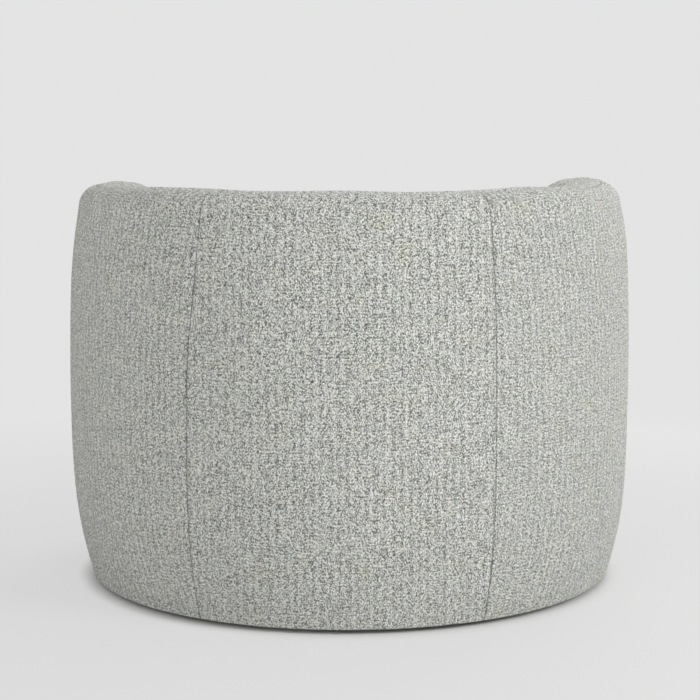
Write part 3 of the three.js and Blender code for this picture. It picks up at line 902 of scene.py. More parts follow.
    def rows(self, path: tuple[float, float], rise: Array, spacing: float) -> tuple[Array, Array, Array]:
        """A panel's rows, with a hem under the base or a tuck over the deck where it has one.

        Args:
            path: first and last path number.
            rise: height of the rim at each column.
            spacing: the distance between points.

        Returns:
            Distances from the middle line and heights, rows by columns, and each row's relief.
        """
        steps = np.linspace(*path, PATH_STEPS)
        line = np.stack(self.path_point(steps, rise.mean()), axis=-1)
        reach, z = self.path_point(respaced(steps, line, spacing)[0][:, None], rise)
        relief = np.ones(len(z))
        even = np.ones(len(rise))
        if path[0] == 0.0:
            z = np.maximum(z, self.foot)
            start = int(np.argmax(z[:, 0] > self.foot))
            back, low = self.hem(spacing)
            reach = np.concatenate([(self.reach(False, self.foot) + back)[:, None] * even, reach[start:]])
            z = np.concatenate([low[:, None] * even, z[start:]])
            relief = np.concatenate([np.full(len(low), self.hem_relief), relief[start:]])
        if path[1] == DECK_END:
            run_in = np.arange(spacing, self.tuck_width, spacing)[:, None]
            reach = np.concatenate([reach, reach[-1:] - run_in])
            z = np.concatenate([z, (self.deck_top + self.tuck_lift) * even + 0.0 * run_in])
            relief = np.concatenate([relief, np.full(len(run_in), self.hem_relief)])
        return reach, z, relief

    def panel(self, angles: tuple[float, float], path: tuple[float, float], spacing: float) -> Surface:
        """The surface of one cover panel, from seam to seam.

        A path number up to 3 is a level of the outer face, and one above it is 6 less the level of
        the inner face. A panel that starts at 0 has a hem under the base.

        Args:
            angles: first and last angle.
            path: first and last path number.
            spacing: the distance between points.

        Returns:
            The surface.
        """
        outside = path[0] == 0.0
        fine = np.linspace(*angles, ANGLE_STEPS)
        line, _ = WALL_OVAL.line(fine, 0.0 if outside else self.inner_inset * self.inside_share)
        angle, across = respaced(fine, line, spacing)
        rise = self.middle(angle)[2]
        reach, z, relief = self.rows(path, rise, spacing)
        middle, facing, _ = self.middle(self.slack.leaned(angle, z))
        reach = reach + self.slack.stuffing(angle, z) * eased(0.0, self.blend, reach)
        points = upright(middle + facing * reach[..., None], z)
        weave = flat_places(points)
        up = weave[:, len(angle) // 2, 1, None]
        ends = np.minimum(across - across[0], across[-1] - across)
        seam = np.minimum(ends, up[-1] - up if outside else np.minimum(up[-1] - up, up))
        core = upright(middle, np.minimum(z, rise - self.outer_round))
        return Surface(points, weave, seam, core, relief)

    def cap(self, side: Side, spacing: float) -> Surface:
        """The surface of one arm's rounded front, from its hem to the crest.

        The face swings half a turn about the wall's end, and its distance from the middle line
        goes from the outer face's to the inner face's as 1 less the cosine of the swing.

        Args:
            side: the arm.
            spacing: the distance between points.

        Returns:
            The surface, closed at its top.
        """
        middle, _, rise = self.middle(np.array(side.value * ARM_END))
        fine = np.linspace(0.0, HALF_TURN, SWING_STEPS)
        swing = respaced(fine, self.cap_points(side, fine, 0.5)[0], spacing)[0]
        steps = np.linspace(0.0, CREST, PATH_STEPS)
        section = np.stack(self.section(False, rise, self.floor_gap, steps), axis=-1)
        points = self.cap_points(side, swing, respaced(steps, section, spacing)[0][:, None])
        points = points[int(np.argmax(points[:, 0, 2] > self.foot)) :]
        back, low = self.hem(spacing)
        at_foot = self.cap_points(side, swing, 0.0)[0, :, :2]
        share = self.hem_in * (-back / self.hem_width)[:, None, None]
        points = np.concatenate([upright(mixed(at_foot, middle, share), low[:, None]), points])
        weave = flat_places(points)
        seam = np.linalg.norm(points[..., :2] - middle, axis=-1) * np.sin(swing)
        plan = np.broadcast_to(middle, points[..., :2].shape)
        core = upright(plan, np.minimum(points[..., 2], rise - self.outer_round))
        relief = np.where(np.arange(len(points)) < len(back), self.hem_relief, 1.0)
        return Surface(points, weave, seam, core, relief, pole=True)

    def cap_points(self, side: Side, swing: Array, level: Array) -> Array:
        """Points of an arm front.

        Args:
            side: the arm.
            swing: the swing of each column.
            level: the level of each row, or one for all.

        Returns:
            Rows of levels by columns of swings.
        """
        middle, facing, rise = self.middle(np.array(side.value * ARM_END))
        ahead = np.array([facing[1], -facing[0]]) * side.value
        turn = (1.0 - np.cos(swing)) / 2.0
        level = np.reshape(level, (-1, 1))
        outer, outer_z = self.section(False, rise, self.floor_gap, level)
        inner, inner_z = self.section(True, rise, self.floor_gap, level)
        way = facing * np.cos(swing)[:, None] + ahead * np.sin(swing)[:, None]
        return upright(middle + way * mixed(outer, inner, turn)[..., None], mixed(outer_z, inner_z, turn))


# Wiring of materials


class Wiring:
    """Adds nodes to one tree and joins them."""

    def __init__(self, tree: bpy.types.NodeTree) -> None:
        """Keeps the tree.

        Args:
            tree: a material's or a group's tree.
        """
        self.tree = tree
        self.column = 0

    def feed(self, socket: Socket, value: object) -> None:
        """Joins another node's output to a socket, or sets the socket's own number."""
        if isinstance(value, bpy.types.NodeSocket):
            self.tree.links.new(value, socket)
        else:
            socket.default_value = value

    def add(self, kind: str, inputs: dict | None = None, **settings: object) -> bpy.types.Node:
        """A node of a kind, with its settings made and its inputs fed.

        Args:
            kind: the node's type, without the leading word all shader nodes share.
            inputs: values or outputs by the name or number of the input.
            settings: the node's own properties.

        Returns:
            The node.
        """
        node = self.tree.nodes.new(kind if kind.startswith("Node") else f"ShaderNode{kind}")
        self.column += 1
        node.location = (self.column * 40.0, -(self.column % 7) * 120.0)
        for name, value in settings.items():
            setattr(node, name, value)
        for name, value in (inputs or {}).items():
            self.feed(node.inputs[name], value)
        return node

    def maths(self, operation: str, *values: object) -> Socket:
        """The output of one arithmetic step."""
        return self.add("Math", dict(enumerate(values)), operation=operation).outputs[0]

    def vector(self, operation: str, *values: object) -> Socket:
        """The output of one step on vectors."""
        return self.add("VectorMath", dict(enumerate(values)), operation=operation).outputs[0]

    def scaled(self, vector: Socket, factor: object) -> Socket:
        """A vector times a number."""
        return self.add("VectorMath", {0: vector, "Scale": factor}, operation="SCALE").outputs[0]

    def weighted(self, *parts: tuple[Socket, float]) -> Socket:
        """The sum of several values, each times its own share.

        Args:
            parts: each value and its share.

        Returns:
            The sum.
        """
        shares = [self.maths("MULTIPLY", value, share) for value, share in parts]
        total = shares[0]
        for share in shares[1:]:
            total = self.maths("ADD", total, share)
        return total

    def noise(self, vector: Socket, scale: object, detail: float = 2.0, rough: float = 0.5) -> Socket:
        """Smooth noise from 0 to 1 at so many features a metre."""
        inputs = {"Vector": vector, "Scale": scale, "Detail": detail, "Roughness": rough}
        return self.add("TexNoise", inputs).outputs[0]

    def ranged(
        self,
        value: Socket,
        low: float,
        high: object,
        start: object = 0.0,
        end: object = 1.0,
        way: str = "SMOOTHSTEP",
    ) -> Socket:
        """A value taken from one range to another, smoothly or in a straight line, and held at its ends.

        Args:
            value: the value.
            low: where it starts to change.
            high: where it ends.
            start: the result up to there.
            end: the result from there on.
            way: SMOOTHSTEP or LINEAR.

        Returns:
            The result.
        """
        inputs = {0: value, 1: low, 2: high, 3: start, 4: end}
        return self.add("MapRange", inputs, interpolation_type=way).outputs[0]

    def ramp(self, factor: Socket, stops: tuple[tuple[float, Colour], ...]) -> Socket:
        """A colour for a factor, between colours that stand at places from 0 to 1.

        Args:
            factor: the factor.
            stops: each colour's place and the colour.

        Returns:
            The colour.
        """
        node = self.add("ValToRGB", {"Fac": factor})
        elements = node.color_ramp.elements
        while len(elements) < len(stops):
            elements.new(0.5)
        for element, (place, colour) in zip(elements, stops):
            element.position = place
            element.color = colour
        return node.outputs[0]

    def blended(self, factor: object, first: object, second: object, blend: str = "MIX") -> Socket:
        """Two colours mixed in one of Blender's ways.

        Args:
            factor: how much of the second shows.
            first: the first colour.
            second: the second colour.
            blend: Blender's name for the way.

        Returns:
            The mixed colour.
        """
        node = self.add("Mix", data_type="RGBA", blend_type=blend)
        for place, value in zip((0, 6, 7), (factor, first, second)):
            self.feed(node.inputs[place], value)
        return node.outputs[2]


def cleared(owner: bpy.types.Material | bpy.types.World) -> Wiring:
    """The wiring of a material's or a world's own tree, emptied first."""
    owner.use_nodes = True
    owner.node_tree.nodes.clear()
    return Wiring(owner.node_tree)


def rgb(red: int, green: int, blue: int) -> Colour:
    """A colour written as on a screen, from 0 to 255, in Blender's linear numbers, not see-through."""
    shares = [part / 255.0 for part in (red, green, blue)]
    return (*(s / 12.92 if s <= 0.04045 else ((s + 0.055) / 1.055) ** 2.4 for s in shares), 1.0)


class Pattern(Wiring):
    """A node group that gives a colour, a height and a roughness for each place."""

    def __init__(self, name: str, place: str, colours: tuple[str, ...] = (), **numbers: float) -> None:
        """Makes the group and its sockets.

        Args:
            name: the group's name.
            place: the name of its first input, a place.
            colours: the names of its colours.
            numbers: its numbers, with their usual values.
        """
        super().__init__(bpy.data.node_groups.new(name, "ShaderNodeTree"))
        self.socket(place, "INPUT", "Vector")
        for colour in colours:
            self.socket(colour, "INPUT", "Color")
        for title, value in numbers.items():
            self.socket(title, "INPUT", "Float").default_value = value
        for title, kind in (("Colour", "Color"), ("Height", "Float"), ("Roughness", "Float")):
            self.socket(title, "OUTPUT", kind)
        self.given = self.add("NodeGroupInput").outputs

    def socket(self, title: str, way: str, kind: str) -> bpy.types.NodeTreeInterfaceSocket:
        """One more socket of the group."""
        return self.tree.interface.new_socket(name=title, in_out=way, socket_type=f"NodeSocket{kind}")

    def give(self, colour: Socket, height: Socket, roughness: Socket) -> None:
        """Joins the three results to the group's outputs."""
        self.add("NodeGroupOutput", {"Colour": colour, "Height": height, "Roughness": roughness})


LOOP_FORM = (1.3, 0.85, 1.0)
CURL_TURN = 37 * DEGREE
ROW_PITCH = 5 * MM
RIB_PITCH = 13.5 * MM
YARN_SPAN = (0.74, 1.34)
# The dark stops are where the painted shade between loops meets the darker greys.
YARN_STOPS = (
    (0.0, rgb(52, 58, 53)),
    (0.22, rgb(120, 125, 118)),
    (0.5, rgb(190, 192, 186)),
    (0.75, rgb(226, 227, 221)),
    (1.0, rgb(252, 252, 248)),
)
WARM_TINT = (1.0, 0.985, 0.9, 1.0)
# Painted shade along the seams: its colour, its strength at the seam, and the scale of the noise that breaks
# it into dashes.
SEAM_SHADE_COLOUR = rgb(88, 92, 86)
SEAM_SHADE_STRENGTH = 0.85
SEAM_SHADE_BREAKS = 130.0


def boucle_yarn() -> None:
    """The boucle: loops of mixed greys with painted shade between them, over slow clouds.

    A cell pattern, warped by noise, makes the loops. Their tone is the sum of the cell's own tone,
    fine and curled noise, slow clouds and the sines of the weave's rows and ribs. The cells' edges
    and the low loops of the relief are darker, as painted shade between the loops, and each seam
    carries a broken line of painted shade.
    """
    group = Pattern("BoucleYarn", "Weave", Loop=0.5, Seam=1.0, Pitch=1.7 * MM, Line=1.3 * MM)
    weave = group.given["Weave"]
    even = group.scaled(weave, group.maths("DIVIDE", 1.0, group.given["Pitch"]))
    place = group.vector("MULTIPLY", even, LOOP_FORM)
    bend = group.add("TexNoise", {"Vector": place, "Scale": 0.55, "Detail": 2.0}).outputs["Color"]
    pull = group.vector("SUBTRACT", bend, (0.5, 0.5, 0.5))
    warped = group.vector("ADD", place, group.scaled(pull, 0.8))
    cells = group.add("TexVoronoi", {"Vector": warped, "Scale": 1.0}, voronoi_dimensions="2D")
    # 1 in a loop's middle, 0 at its cell's edge: the loop's height, and in the colour painted shade in the
    # gaps between loops.
    core = group.ranged(cells.outputs["Distance"], 0.12, 0.62, 1.0, 0.0)
    tone = group.add("SeparateColor", {0: cells.outputs["Color"]}).outputs[0]
    fine = group.noise(place, 1.3, 1.0, 0.7)
    askew = group.add("VectorRotate", {"Vector": warped, "Angle": CURL_TURN}).outputs[0]
    curl = group.noise(askew, 0.62, 0.0)
    clouds = group.noise(weave, 26.0)
    split = group.add("SeparateXYZ", {0: weave}).outputs
    stray = group.maths("MULTIPLY", group.noise(weave, 60.0, 1.0), 9.0)
    rows = group.maths("SINE", group.weighted((split[1], FULL_TURN / ROW_PITCH), (stray, 1.0)))
    ribs = group.maths("SINE", group.weighted((split[0], FULL_TURN / RIB_PITCH), (stray, 0.5)))
    # The cell tone and the noises are the cloth's own mixed greys; core adds painted shade in the gaps
    # between loops.
    loop_tones_and_gap_shade = ((core, 0.45), (tone, 0.5), (fine, 0.6), (curl, 0.6))
    # The Loop term lightens high loops and darkens low ones: painted shade that follows the mesh's relief.
    slow = ((clouds, 0.04), (group.given["Loop"], 0.04), (rows, 0.045), (ribs, 0.05))
    value = group.weighted(*loop_tones_and_gap_shade, *slow)
    colour = group.ramp(group.ranged(value, *YARN_SPAN, way="LINEAR"), YARN_STOPS)
    colour = group.blended(group.ranged(clouds, 0.5, 0.72, 0.0, 0.6), colour, WARM_TINT, "MULTIPLY")
    # A line of painted shade, Line wide, along each seam, broken into dashes by noise.
    near = group.ranged(group.given["Seam"], 0.0, group.given["Line"], SEAM_SHADE_STRENGTH, 0.0, "LINEAR")
    broken_seam_shade = group.ranged(group.noise(weave, SEAM_SHADE_BREAKS, 1.0), 0.38, 0.56, 0.4, 1.0)
    colour = group.blended(group.maths("MULTIPLY", near, broken_seam_shade), colour, SEAM_SHADE_COLOUR)
    height = group.weighted((core, 0.5), (fine, 0.5), (curl, 0.3))
    group.give(colour, height, group.ranged(fine, 0.2, 0.8, 0.98, 0.86))


FIBRES = (14.0, 170.0, 170.0)
PORES = (60.0, 1400.0, 1400.0)


def wood_grain() -> None:
    """Wood grain: long fibres along X, bent by a slow noise, with pores."""
    group = Pattern("WoodGrain", "Place", ("Light", "Dark"))
    given = group.given
    fibre = group.noise(group.vector("MULTIPLY", given["Place"], FIBRES), 1.0, 4.0, 0.6)
    pores = group.noise(group.vector("MULTIPLY", given["Place"], PORES), 1.0, 1.0)
    share = group.weighted((fibre, 0.7), (group.noise(given["Place"], 9.0), 0.5))
    colour = group.blended(group.ranged(share, 0.35, 0.85), given["Light"], given["Dark"])
    colour = group.blended(group.ranged(pores, 0.62, 0.75, 0.0, 0.5), colour, given["Dark"])
    height = group.weighted((fibre, 1.0), (pores, 0.4))
    group.give(colour, height, group.ranged(fibre, 0.3, 0.7, 0.62, 0.8))


def plain_weave() -> None:
    """A plain weave: threads along X and Y that pass over each other by turns, over slow clouds.

    The height of a thread is the sine of its place across times the sine along, and the threads
    the other way have the opposite sign, so the higher of the two shows.
    """
    group = Pattern("PlainWeave", "Place", ("Base", "Thread"), Pitch=1.0 * MM)
    given = group.given
    place = group.scaled(given["Place"], group.maths("DIVIDE", HALF_TURN, given["Pitch"]))
    split = group.add("SeparateXYZ", {0: place}).outputs
    over = group.maths("MULTIPLY", group.maths("SINE", split[0]), group.maths("SINE", split[1]))
    height = group.ranged(group.maths("ABSOLUTE", over), 0.0, 0.8)
    fuzz = group.noise(given["Place"], 700.0)
    clouds = group.ranged(group.noise(given["Place"], 18.0, 3.0), 0.35, 0.75, 0.0, 0.3)
    tone = group.maths("MULTIPLY", height, group.ranged(fuzz, 0.3, 0.8, 0.35, 0.9))
    colour = group.blended(group.maths("ADD", tone, clouds), given["Base"], given["Thread"])
    group.give(colour, group.weighted((height, 1.0), (fuzz, 0.4)), group.ranged(fuzz, 0.3, 0.7, 0.8, 0.95))


def speckle() -> None:
    """Fine grain with slow dusty clouds, for plastic, fleece and metal."""
    group = Pattern("Speckle", "Place", ("Base", "Dust"), Grains=900.0, Smooth=0.45, Rough=0.65)
    given = group.given
    grain = group.noise(given["Place"], given["Grains"])
    clouds = group.noise(given["Place"], 30.0, 3.0)
    dusty = group.ranged(clouds, 0.4, 0.75, 0.0, 0.35)
    share = group.maths("ADD", dusty, group.ranged(grain, 0.5, 0.8, 0.0, 0.4))
    rough = group.ranged(clouds, 0.3, 0.7, given["Smooth"], given["Rough"], "LINEAR")
    group.give(group.blended(share, given["Base"], given["Dust"]), grain, rough)


# Finishes


@dataclass(frozen=True)
class Finish:
    """A material that takes its colour, roughness and bump from one pattern.

    Attributes:
        name: the material's name.
        group: the name of the pattern's node group.
        bump: depth of the relief, in metres.
        values: the pattern's own inputs, by name.
        metallic: 1 for bare metal.
        sheen: how much of a soft sheen cloth has.
    """

    name: str
    group: str
    bump: float
    values: dict = field(default_factory=dict)
    metallic: float = 0.0
    sheen: float = 0.0

    def material(self) -> bpy.types.Material:
        """The material, made the first time it is asked for.

        Returns:
            The material.
        """
        found = bpy.data.materials.get(self.name)
        if found:
            return found
        material = bpy.data.materials.new(self.name)
        wiring = cleared(material)
        group = wiring.add("Group")
        group.node_tree = bpy.data.node_groups[self.group]
        self.join(wiring, group)
        for name, value in self.values.items():
            wiring.feed(group.inputs[name], value)
        bump = wiring.add("Bump", {"Height": group.outputs["Height"], "Distance": self.bump, "Strength": 1.0})
        inputs = {
            "Base Color": group.outputs["Colour"],
            "Roughness": group.outputs["Roughness"],
            "Normal": bump.outputs[0],
            "Metallic": self.metallic,
            "Sheen Weight": self.sheen,
            "Sheen Roughness": 0.5,
        }
        shader = wiring.add("BsdfPrincipled", inputs)
        wiring.add("OutputMaterial", {"Surface": shader.outputs[0]})
        return material

    def join(self, wiring: Wiring, group: bpy.types.Node) -> None:
        """Gives the group the piece's own place."""
        wiring.feed(group.inputs["Place"], wiring.add("TexCoord").outputs["Object"])

    def dress(self, piece: bpy.types.Object) -> None:
        """Puts the material on a piece as its only one."""
        piece.data.materials.clear()
        piece.data.materials.append(self.material())


@dataclass(frozen=True)
class ClothFinish(Finish):
    """The boucle, which follows the cloth's own weave, loops and seams."""

    def join(self, wiring: Wiring, group: bpy.types.Node) -> None:
        """Gives the group what each cloth piece stores on its points."""
        for socket, output in (("Weave", "Vector"), ("Loop", "Fac"), ("Seam", "Fac")):
            attribute = wiring.add("Attribute", attribute_name=socket.lower())
            wiring.feed(group.inputs[socket], attribute.outputs[output])


def speckled(
    name: str, bump: float, base: Colour, dust: Colour, metallic: float = 0.0, **numbers: float
) -> Finish:
    """A finish of fine grain with dust on it.

    Args:
        name: the material's name.
        bump: depth of the relief.
        base: its own colour.
        dust: the dust's colour.
        metallic: 1 for bare metal.
        numbers: the pattern's numbers.

    Returns:
        The finish.
    """
    return Finish(name, "Speckle", bump, {"Base": base, "Dust": dust, **numbers}, metallic)


# Line is the width of the painted shade along the seams; the cushion's deeper seams get a wider one.
CLOTH = ClothFinish("PaleBoucle", "BoucleYarn", 2.2 * MM, {"Line": 1.6 * MM}, sheen=0.15)
CUSHION_CLOTH = ClothFinish("PaleBoucleCushion", "BoucleYarn", 2.2 * MM, {"Line": 3.4 * MM}, sheen=0.15)
BIRCH = {"Light": rgb(222, 190, 146), "Dark": rgb(176, 136, 92)}
BOARD = {"Light": rgb(164, 140, 108), "Dark": rgb(118, 94, 66)}
THREADS = {"Base": rgb(46, 47, 50), "Thread": rgb(92, 93, 96), "Pitch": 0.9 * MM}
PLYWOOD = Finish("BirchPly", "WoodGrain", 0.15 * MM, BIRCH)
BENT_BOARD = Finish("BentBoard", "WoodGrain", 0.1 * MM, BOARD)
PLATFORM = Finish("PlatformCloth", "PlainWeave", 0.25 * MM, THREADS, sheen=0.1)
FLEECE = speckled(
    "BlackFleece", 0.3 * MM, rgb(40, 41, 44), rgb(74, 75, 78), Grains=1400.0, Smooth=0.85, Rough=0.98
)
SPRING_STEEL = speckled(
    "SpringSteel", 0.05 * MM, rgb(150, 152, 154), rgb(104, 104, 104), 1.0, Smooth=0.28, Rough=0.45
)
GLIDE_PLASTIC = speckled(
    "GlidePlastic", 0.08 * MM, rgb(34, 34, 36), rgb(70, 69, 66), Smooth=0.4, Rough=0.62
)
STAPLE_WIRE = speckled(
    "StapleWire", 0.02 * MM, rgb(190, 191, 192), rgb(140, 138, 132), 1.0, Smooth=0.3, Rough=0.5
)
ZIP_METAL = speckled(
    "ZipMetal", 0.03 * MM, rgb(178, 180, 182), rgb(120, 120, 118), 1.0, Smooth=0.22, Rough=0.4
)


# The chair's sub-assemblies


def rides(piece: bpy.types.Object, body: Body, nodes: list[str]) -> None:
    """Sets a finished piece on its body and the CAD nodes it stands for.

    Args:
        piece: the piece.
        body: what it moves with.
        nodes: the CAD nodes that it replaces.
    """
    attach(piece, body.value)
    if nodes:
        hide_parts(*nodes)
    LOG.info("%s: %d triangles", piece.name, triangles_of(piece.data))


@dataclass
class Upholstery:
    """The covers of the wall: outside, inside and arm fronts.

    Attributes:
        shape: the wall.
        cloth: the boucle's relief.
        outer_spacing: distance between the points of the outer back panel.
        side_spacing: the same, of the outer side panels.
        inner_spacing: the same, of the inside panels.
        front_spacing: the same, of the arm fronts.
        rim_seam: path number of the seam along the rim's outer edge.
        fill: how full the foam is; not used.
    """

    shape: WallShape = field(default_factory=WallShape)
    cloth: Boucle = field(default_factory=Boucle)
    outer_spacing: float = 2.1 * MM
    side_spacing: float = 2.48 * MM
    inner_spacing: float = 3.0 * MM
    front_spacing: float = 2.8 * MM
    rim_seam: float = 1.9
    fill: float = 0.95

    def build(self) -> None:
        """Makes every cover of the wall and dresses it."""
        outside, inside = (0.0, self.rim_seam), (self.rim_seam, DECK_END)
        back = self.shape.panel((-OUTER_SEAM, OUTER_SEAM), outside, self.outer_spacing)
        self.cover("outer_back_cloth", back, Seed.OUTER_BACK, ["outer_back_cover", "outer_foam"])
        lining = self.shape.panel((-INSIDE_SEAM, INSIDE_SEAM), inside, self.inner_spacing)
        nodes = ["inside_back_cover", "inside_foam", "rim_foam"]
        self.cover("inside_back_cloth", lining, Seed.INSIDE_BACK, nodes)
        for side in Side:
            label, sign = side.label, side.value
            surface = self.shape.panel((sign * OUTER_SEAM, sign * ARM_END), outside, self.side_spacing)
            nodes = [f"outer_side_cover_{label}"]
            self.cover(f"outer_side_cloth_{label}", surface, Seed.OUTER_SIDE + sign, nodes)
            surface = self.shape.panel((sign * INSIDE_SEAM, sign * ARM_END), inside, self.inner_spacing)
            nodes = [f"inside_arm_cover_{label}"]
            self.cover(f"inside_arm_cloth_{label}", surface, Seed.INSIDE_ARM + sign, nodes)
            surface = self.shape.cap(side, self.front_spacing)
            nodes = [f"arm_front_cover_{label}", f"arm_front_foam_{label}"]
            self.cover(f"arm_front_cloth_{label}", surface, Seed.ARM_FRONT + sign, nodes)

    def cover(self, name: str, surface: Surface, seed: int, nodes: list[str]) -> None:
        """One padded cover: its mesh, finish, body and the nodes it stands for.

        Args:
            name: the piece's name.
            surface: what it lies on.
            seed: the piece's own seed.
            nodes: the CAD nodes that it replaces.
        """
        piece = self.cloth.laid(name, surface, seed)
        CLOTH.dress(piece)
        rides(piece, Body.CHAIR, nodes)


@dataclass
class SeatFront:
    """The round front of the seat, its top turned in over the deck.

    Attributes:
        shape: the wall, for the arms beside it.
        cloth: the boucle's relief.
        top: height of the deck's cloth.
        top_round: radius of the upper edge.
        run_in: how far the cloth runs in over the deck.
        fullness: how far the front swells at mid height.
        tuck: how far its ends turn back beside the arms.
        flare: how far its ends swell out against the arms.
        flare_angles: from an end, where that swelling is full and where it starts.
        end_seam: how far behind its ends their seams lie.
        core: share of the way in, and height, of the points that its faces turn away from.
        spacing: distance between its points.
        steps: points of the unspaced section's parts.
        line_steps: points of the unspaced line in plan.
    """

    shape: WallShape = field(default_factory=WallShape)
    cloth: Boucle = field(default_factory=Boucle)
    top: float = 277.6 * MM
    top_round: float = 9 * MM
    run_in: float = 70 * MM
    fullness: float = 2 * MM
    tuck: float = 9 * DEGREE
    flare: float = 16 * MM
    flare_angles: tuple[float, float] = (12 * DEGREE, 22 * DEGREE)
    end_seam: float = 20 * MM
    core: tuple[float, float] = (0.6, 120 * MM)
    spacing: float = 2.8 * MM
    steps: int = 200
    line_steps: int = 600

    def build(self) -> None:
        """Makes the front and dresses it."""
        piece = self.cloth.laid("front_border_cloth", self.surface(), Seed.SEAT_FRONT)
        CLOTH.dress(piece)
        rides(piece, Body.CHAIR, ["front_border_cover", "front_border_foam"])

    def profile(self) -> tuple[Array, Array, Array]:
        """The front's upright section: distances in from the seat's line, and heights.

        It climbs from the hem with a swelling of one half sine, turns a quarter circle at the top
        and runs in level.

        Returns:
            Insets, heights and shares of the cloth's relief, all along the section.
        """
        back, low = self.shape.hem(self.spacing)
        spring = self.top - self.top_round
        share = np.linspace(0.0, 1.0, self.steps)
        swing = share * QUARTER_TURN
        front = [self.fullness * (1.0 - np.sin(HALF_TURN * share)), mixed(self.shape.foot, spring, share)]
        edge = [
            self.fullness + self.top_round * (1.0 - np.cos(swing)),
            spring + self.top_round * np.sin(swing),
        ]
        over = [self.fullness + self.top_round + self.run_in * share, np.full(self.steps, self.top)]
        line = np.concatenate([np.stack(part, axis=-1) for part in ([-back, low], front, edge, over)])
        order = np.arange(len(line), dtype=float)
        at, _ = respaced(order, line, self.spacing)
        relief = np.where(at < len(back), self.shape.hem_relief, 1.0)
        return *points_at(at, order, line).T, relief

    def surface(self) -> Surface:
        """The whole front as a grid: the section carried along the seat's line.

        Beside each arm the line leaves the seat's oval and runs out to the arm's inner face, so
        that no slit shows between them.

        Returns:
            The surface.
        """
        inset, z, relief = self.profile()
        first = ARM_END - self.tuck
        fine = np.linspace(first, FULL_TURN - first, self.line_steps)
        line, _ = SEAT_OVAL.line(fine)
        angle, across = respaced(fine, line, self.spacing)
        plan, facing = SEAT_OVAL.line(angle, inset[:, None])
        from_end = np.minimum(angle - first, FULL_TURN - first - angle)
        spread = (1.0 - eased(*self.flare_angles, from_end)) * self.flare
        over = np.clip((inset - self.fullness - self.top_round) / self.run_in, 0.0, 1.0)
        plan = plan + facing * (spread * (1.0 - over[:, None]))[..., None]
        points = upright(plan, z[:, None])
        up = travelled(points[:, len(angle) // 2])
        weave = np.stack(np.broadcast_arrays(across, up[:, None]), axis=-1)
        edge = np.minimum(across, across[-1] - across)
        seam = np.minimum(edge + self.end_seam, (up[-1] - up)[:, None])
        behind = upright(mixed(plan, SEAT_MIDDLE, self.core[0]), self.core[1])
        return Surface(points, weave, seam, behind, relief)


def lid_rings(outline: Array, section: Array) -> Array:
    """Rings of a flat closed form: an outline drawn in by a section, down to a point at both ends.

    Each ring is the seat's middle plus the outline's way from it, shortened by the section's inset
    and times the section's share.

    Args:
        outline: points with X and Y.
        section: rows of inset, share and height, from the middle below to the middle above.

    Returns:
        Rings by points.
    """
    way = outline - SEAT_MIDDLE
    length = np.linalg.norm(way, axis=1)[:, None]
    inset, share, z = (section[:, column, None, None] for column in range(3))
    return upright(SEAT_MIDDLE + way * (1.0 - inset / length) * share, z[..., 0])


def rounded_lid(low: float, high: float, radius: float, count: int) -> Array:
    """A section for lid_rings: flat below and above, its edge half a circle squeezed to its height.

    Args:
        low: height of its lower face.
        high: height of its upper face.
        radius: how far its edge is rounded.
        count: points from the middle to the edge.

    Returns:
        Rows of inset, share and height.
    """
    swing = np.linspace(-QUARTER_TURN, QUARTER_TURN, LID_EDGE_POINTS)
    share = np.linspace(0.0, 1.0, count)[:-1]
    climb = mixed(low, high, (1.0 + np.sin(swing)) / 2.0)
    edge = [radius * (1.0 - np.cos(swing)), np.ones(len(swing)), climb]
    inset = np.full(count - 1, radius)
    below = [inset, share, np.full(count - 1, low)]
    above = [inset, share[::-1], np.full(count - 1, high)]
    return np.concatenate([np.stack(part, axis=-1) for part in (below, edge, above)])


@dataclass
class Deck:
    """The sprung seat deck: its pad under a plain woven cloth that dips a little in the middle.

    Attributes:
        top: height of the deck's cloth at its edge.
        depth: thickness of the pad.
        inset: from the seat's line to the pad's edge.
        edge_round: how far the pad's edge is rounded.
        dip: how far the cloth dips in the middle.
        dip_reach: from the edge, where the dip starts and where it is full.
        pucker: height of the small puckers that the springs leave.
        pucker_pitch: distance between them.
        pucker_reach: from the edge, where they start and where they are full.
        skin: how far below its top the pad's points count as its upper cloth.
        count: rings of points on each side.
        columns: points of each ring.
    """

    top: float = 276.0 * MM
    depth: float = 13.6 * MM
    inset: float = 4 * MM
    edge_round: float = 5 * MM
    dip: float = 2.4 * MM
    dip_reach: tuple[float, float] = (10 * MM, 200 * MM)
    pucker: float = 0.5 * MM
    pucker_pitch: float = 34 * MM
    pucker_reach: tuple[float, float] = (5 * MM, 40 * MM)
    skin: float = 1 * MM
    count: int = 60
    columns: int = 220

    def build(self) -> None:
        """Makes the pad and dresses it."""
        outline, _ = SEAT_OVAL.line(turns(self.columns), self.inset)
        rings = lid_rings(outline, rounded_lid(self.top - self.depth, self.top, self.edge_round, self.count))
        rings[..., 2] -= self.lowered(rings)
        piece = closed("deck_cloth_pad", rings)
        PLATFORM.dress(piece)
        rides(piece, Body.CHAIR, ["deck_cloth", "deck_pad"])

    def lowered(self, rings: Array) -> Array:
        """How far the upper cloth lies below its edge: one slow dip, and puckers of smooth noise.

        Args:
            rings: the pad's points.

        Returns:
            Distances, 0 for the points under the skin.
        """
        depth = SEAT_OVAL.inset_of(rings)
        dip = self.dip * eased(*self.dip_reach, depth)
        pucker = self.pucker * (1.0 + cloudy(rings * LEVEL, self.pucker_pitch, Seed.DECK))
        upper = rings[..., 2] > self.top - self.skin
        return np.where(upper, dip + pucker * eased(*self.pucker_reach, depth), 0.0)


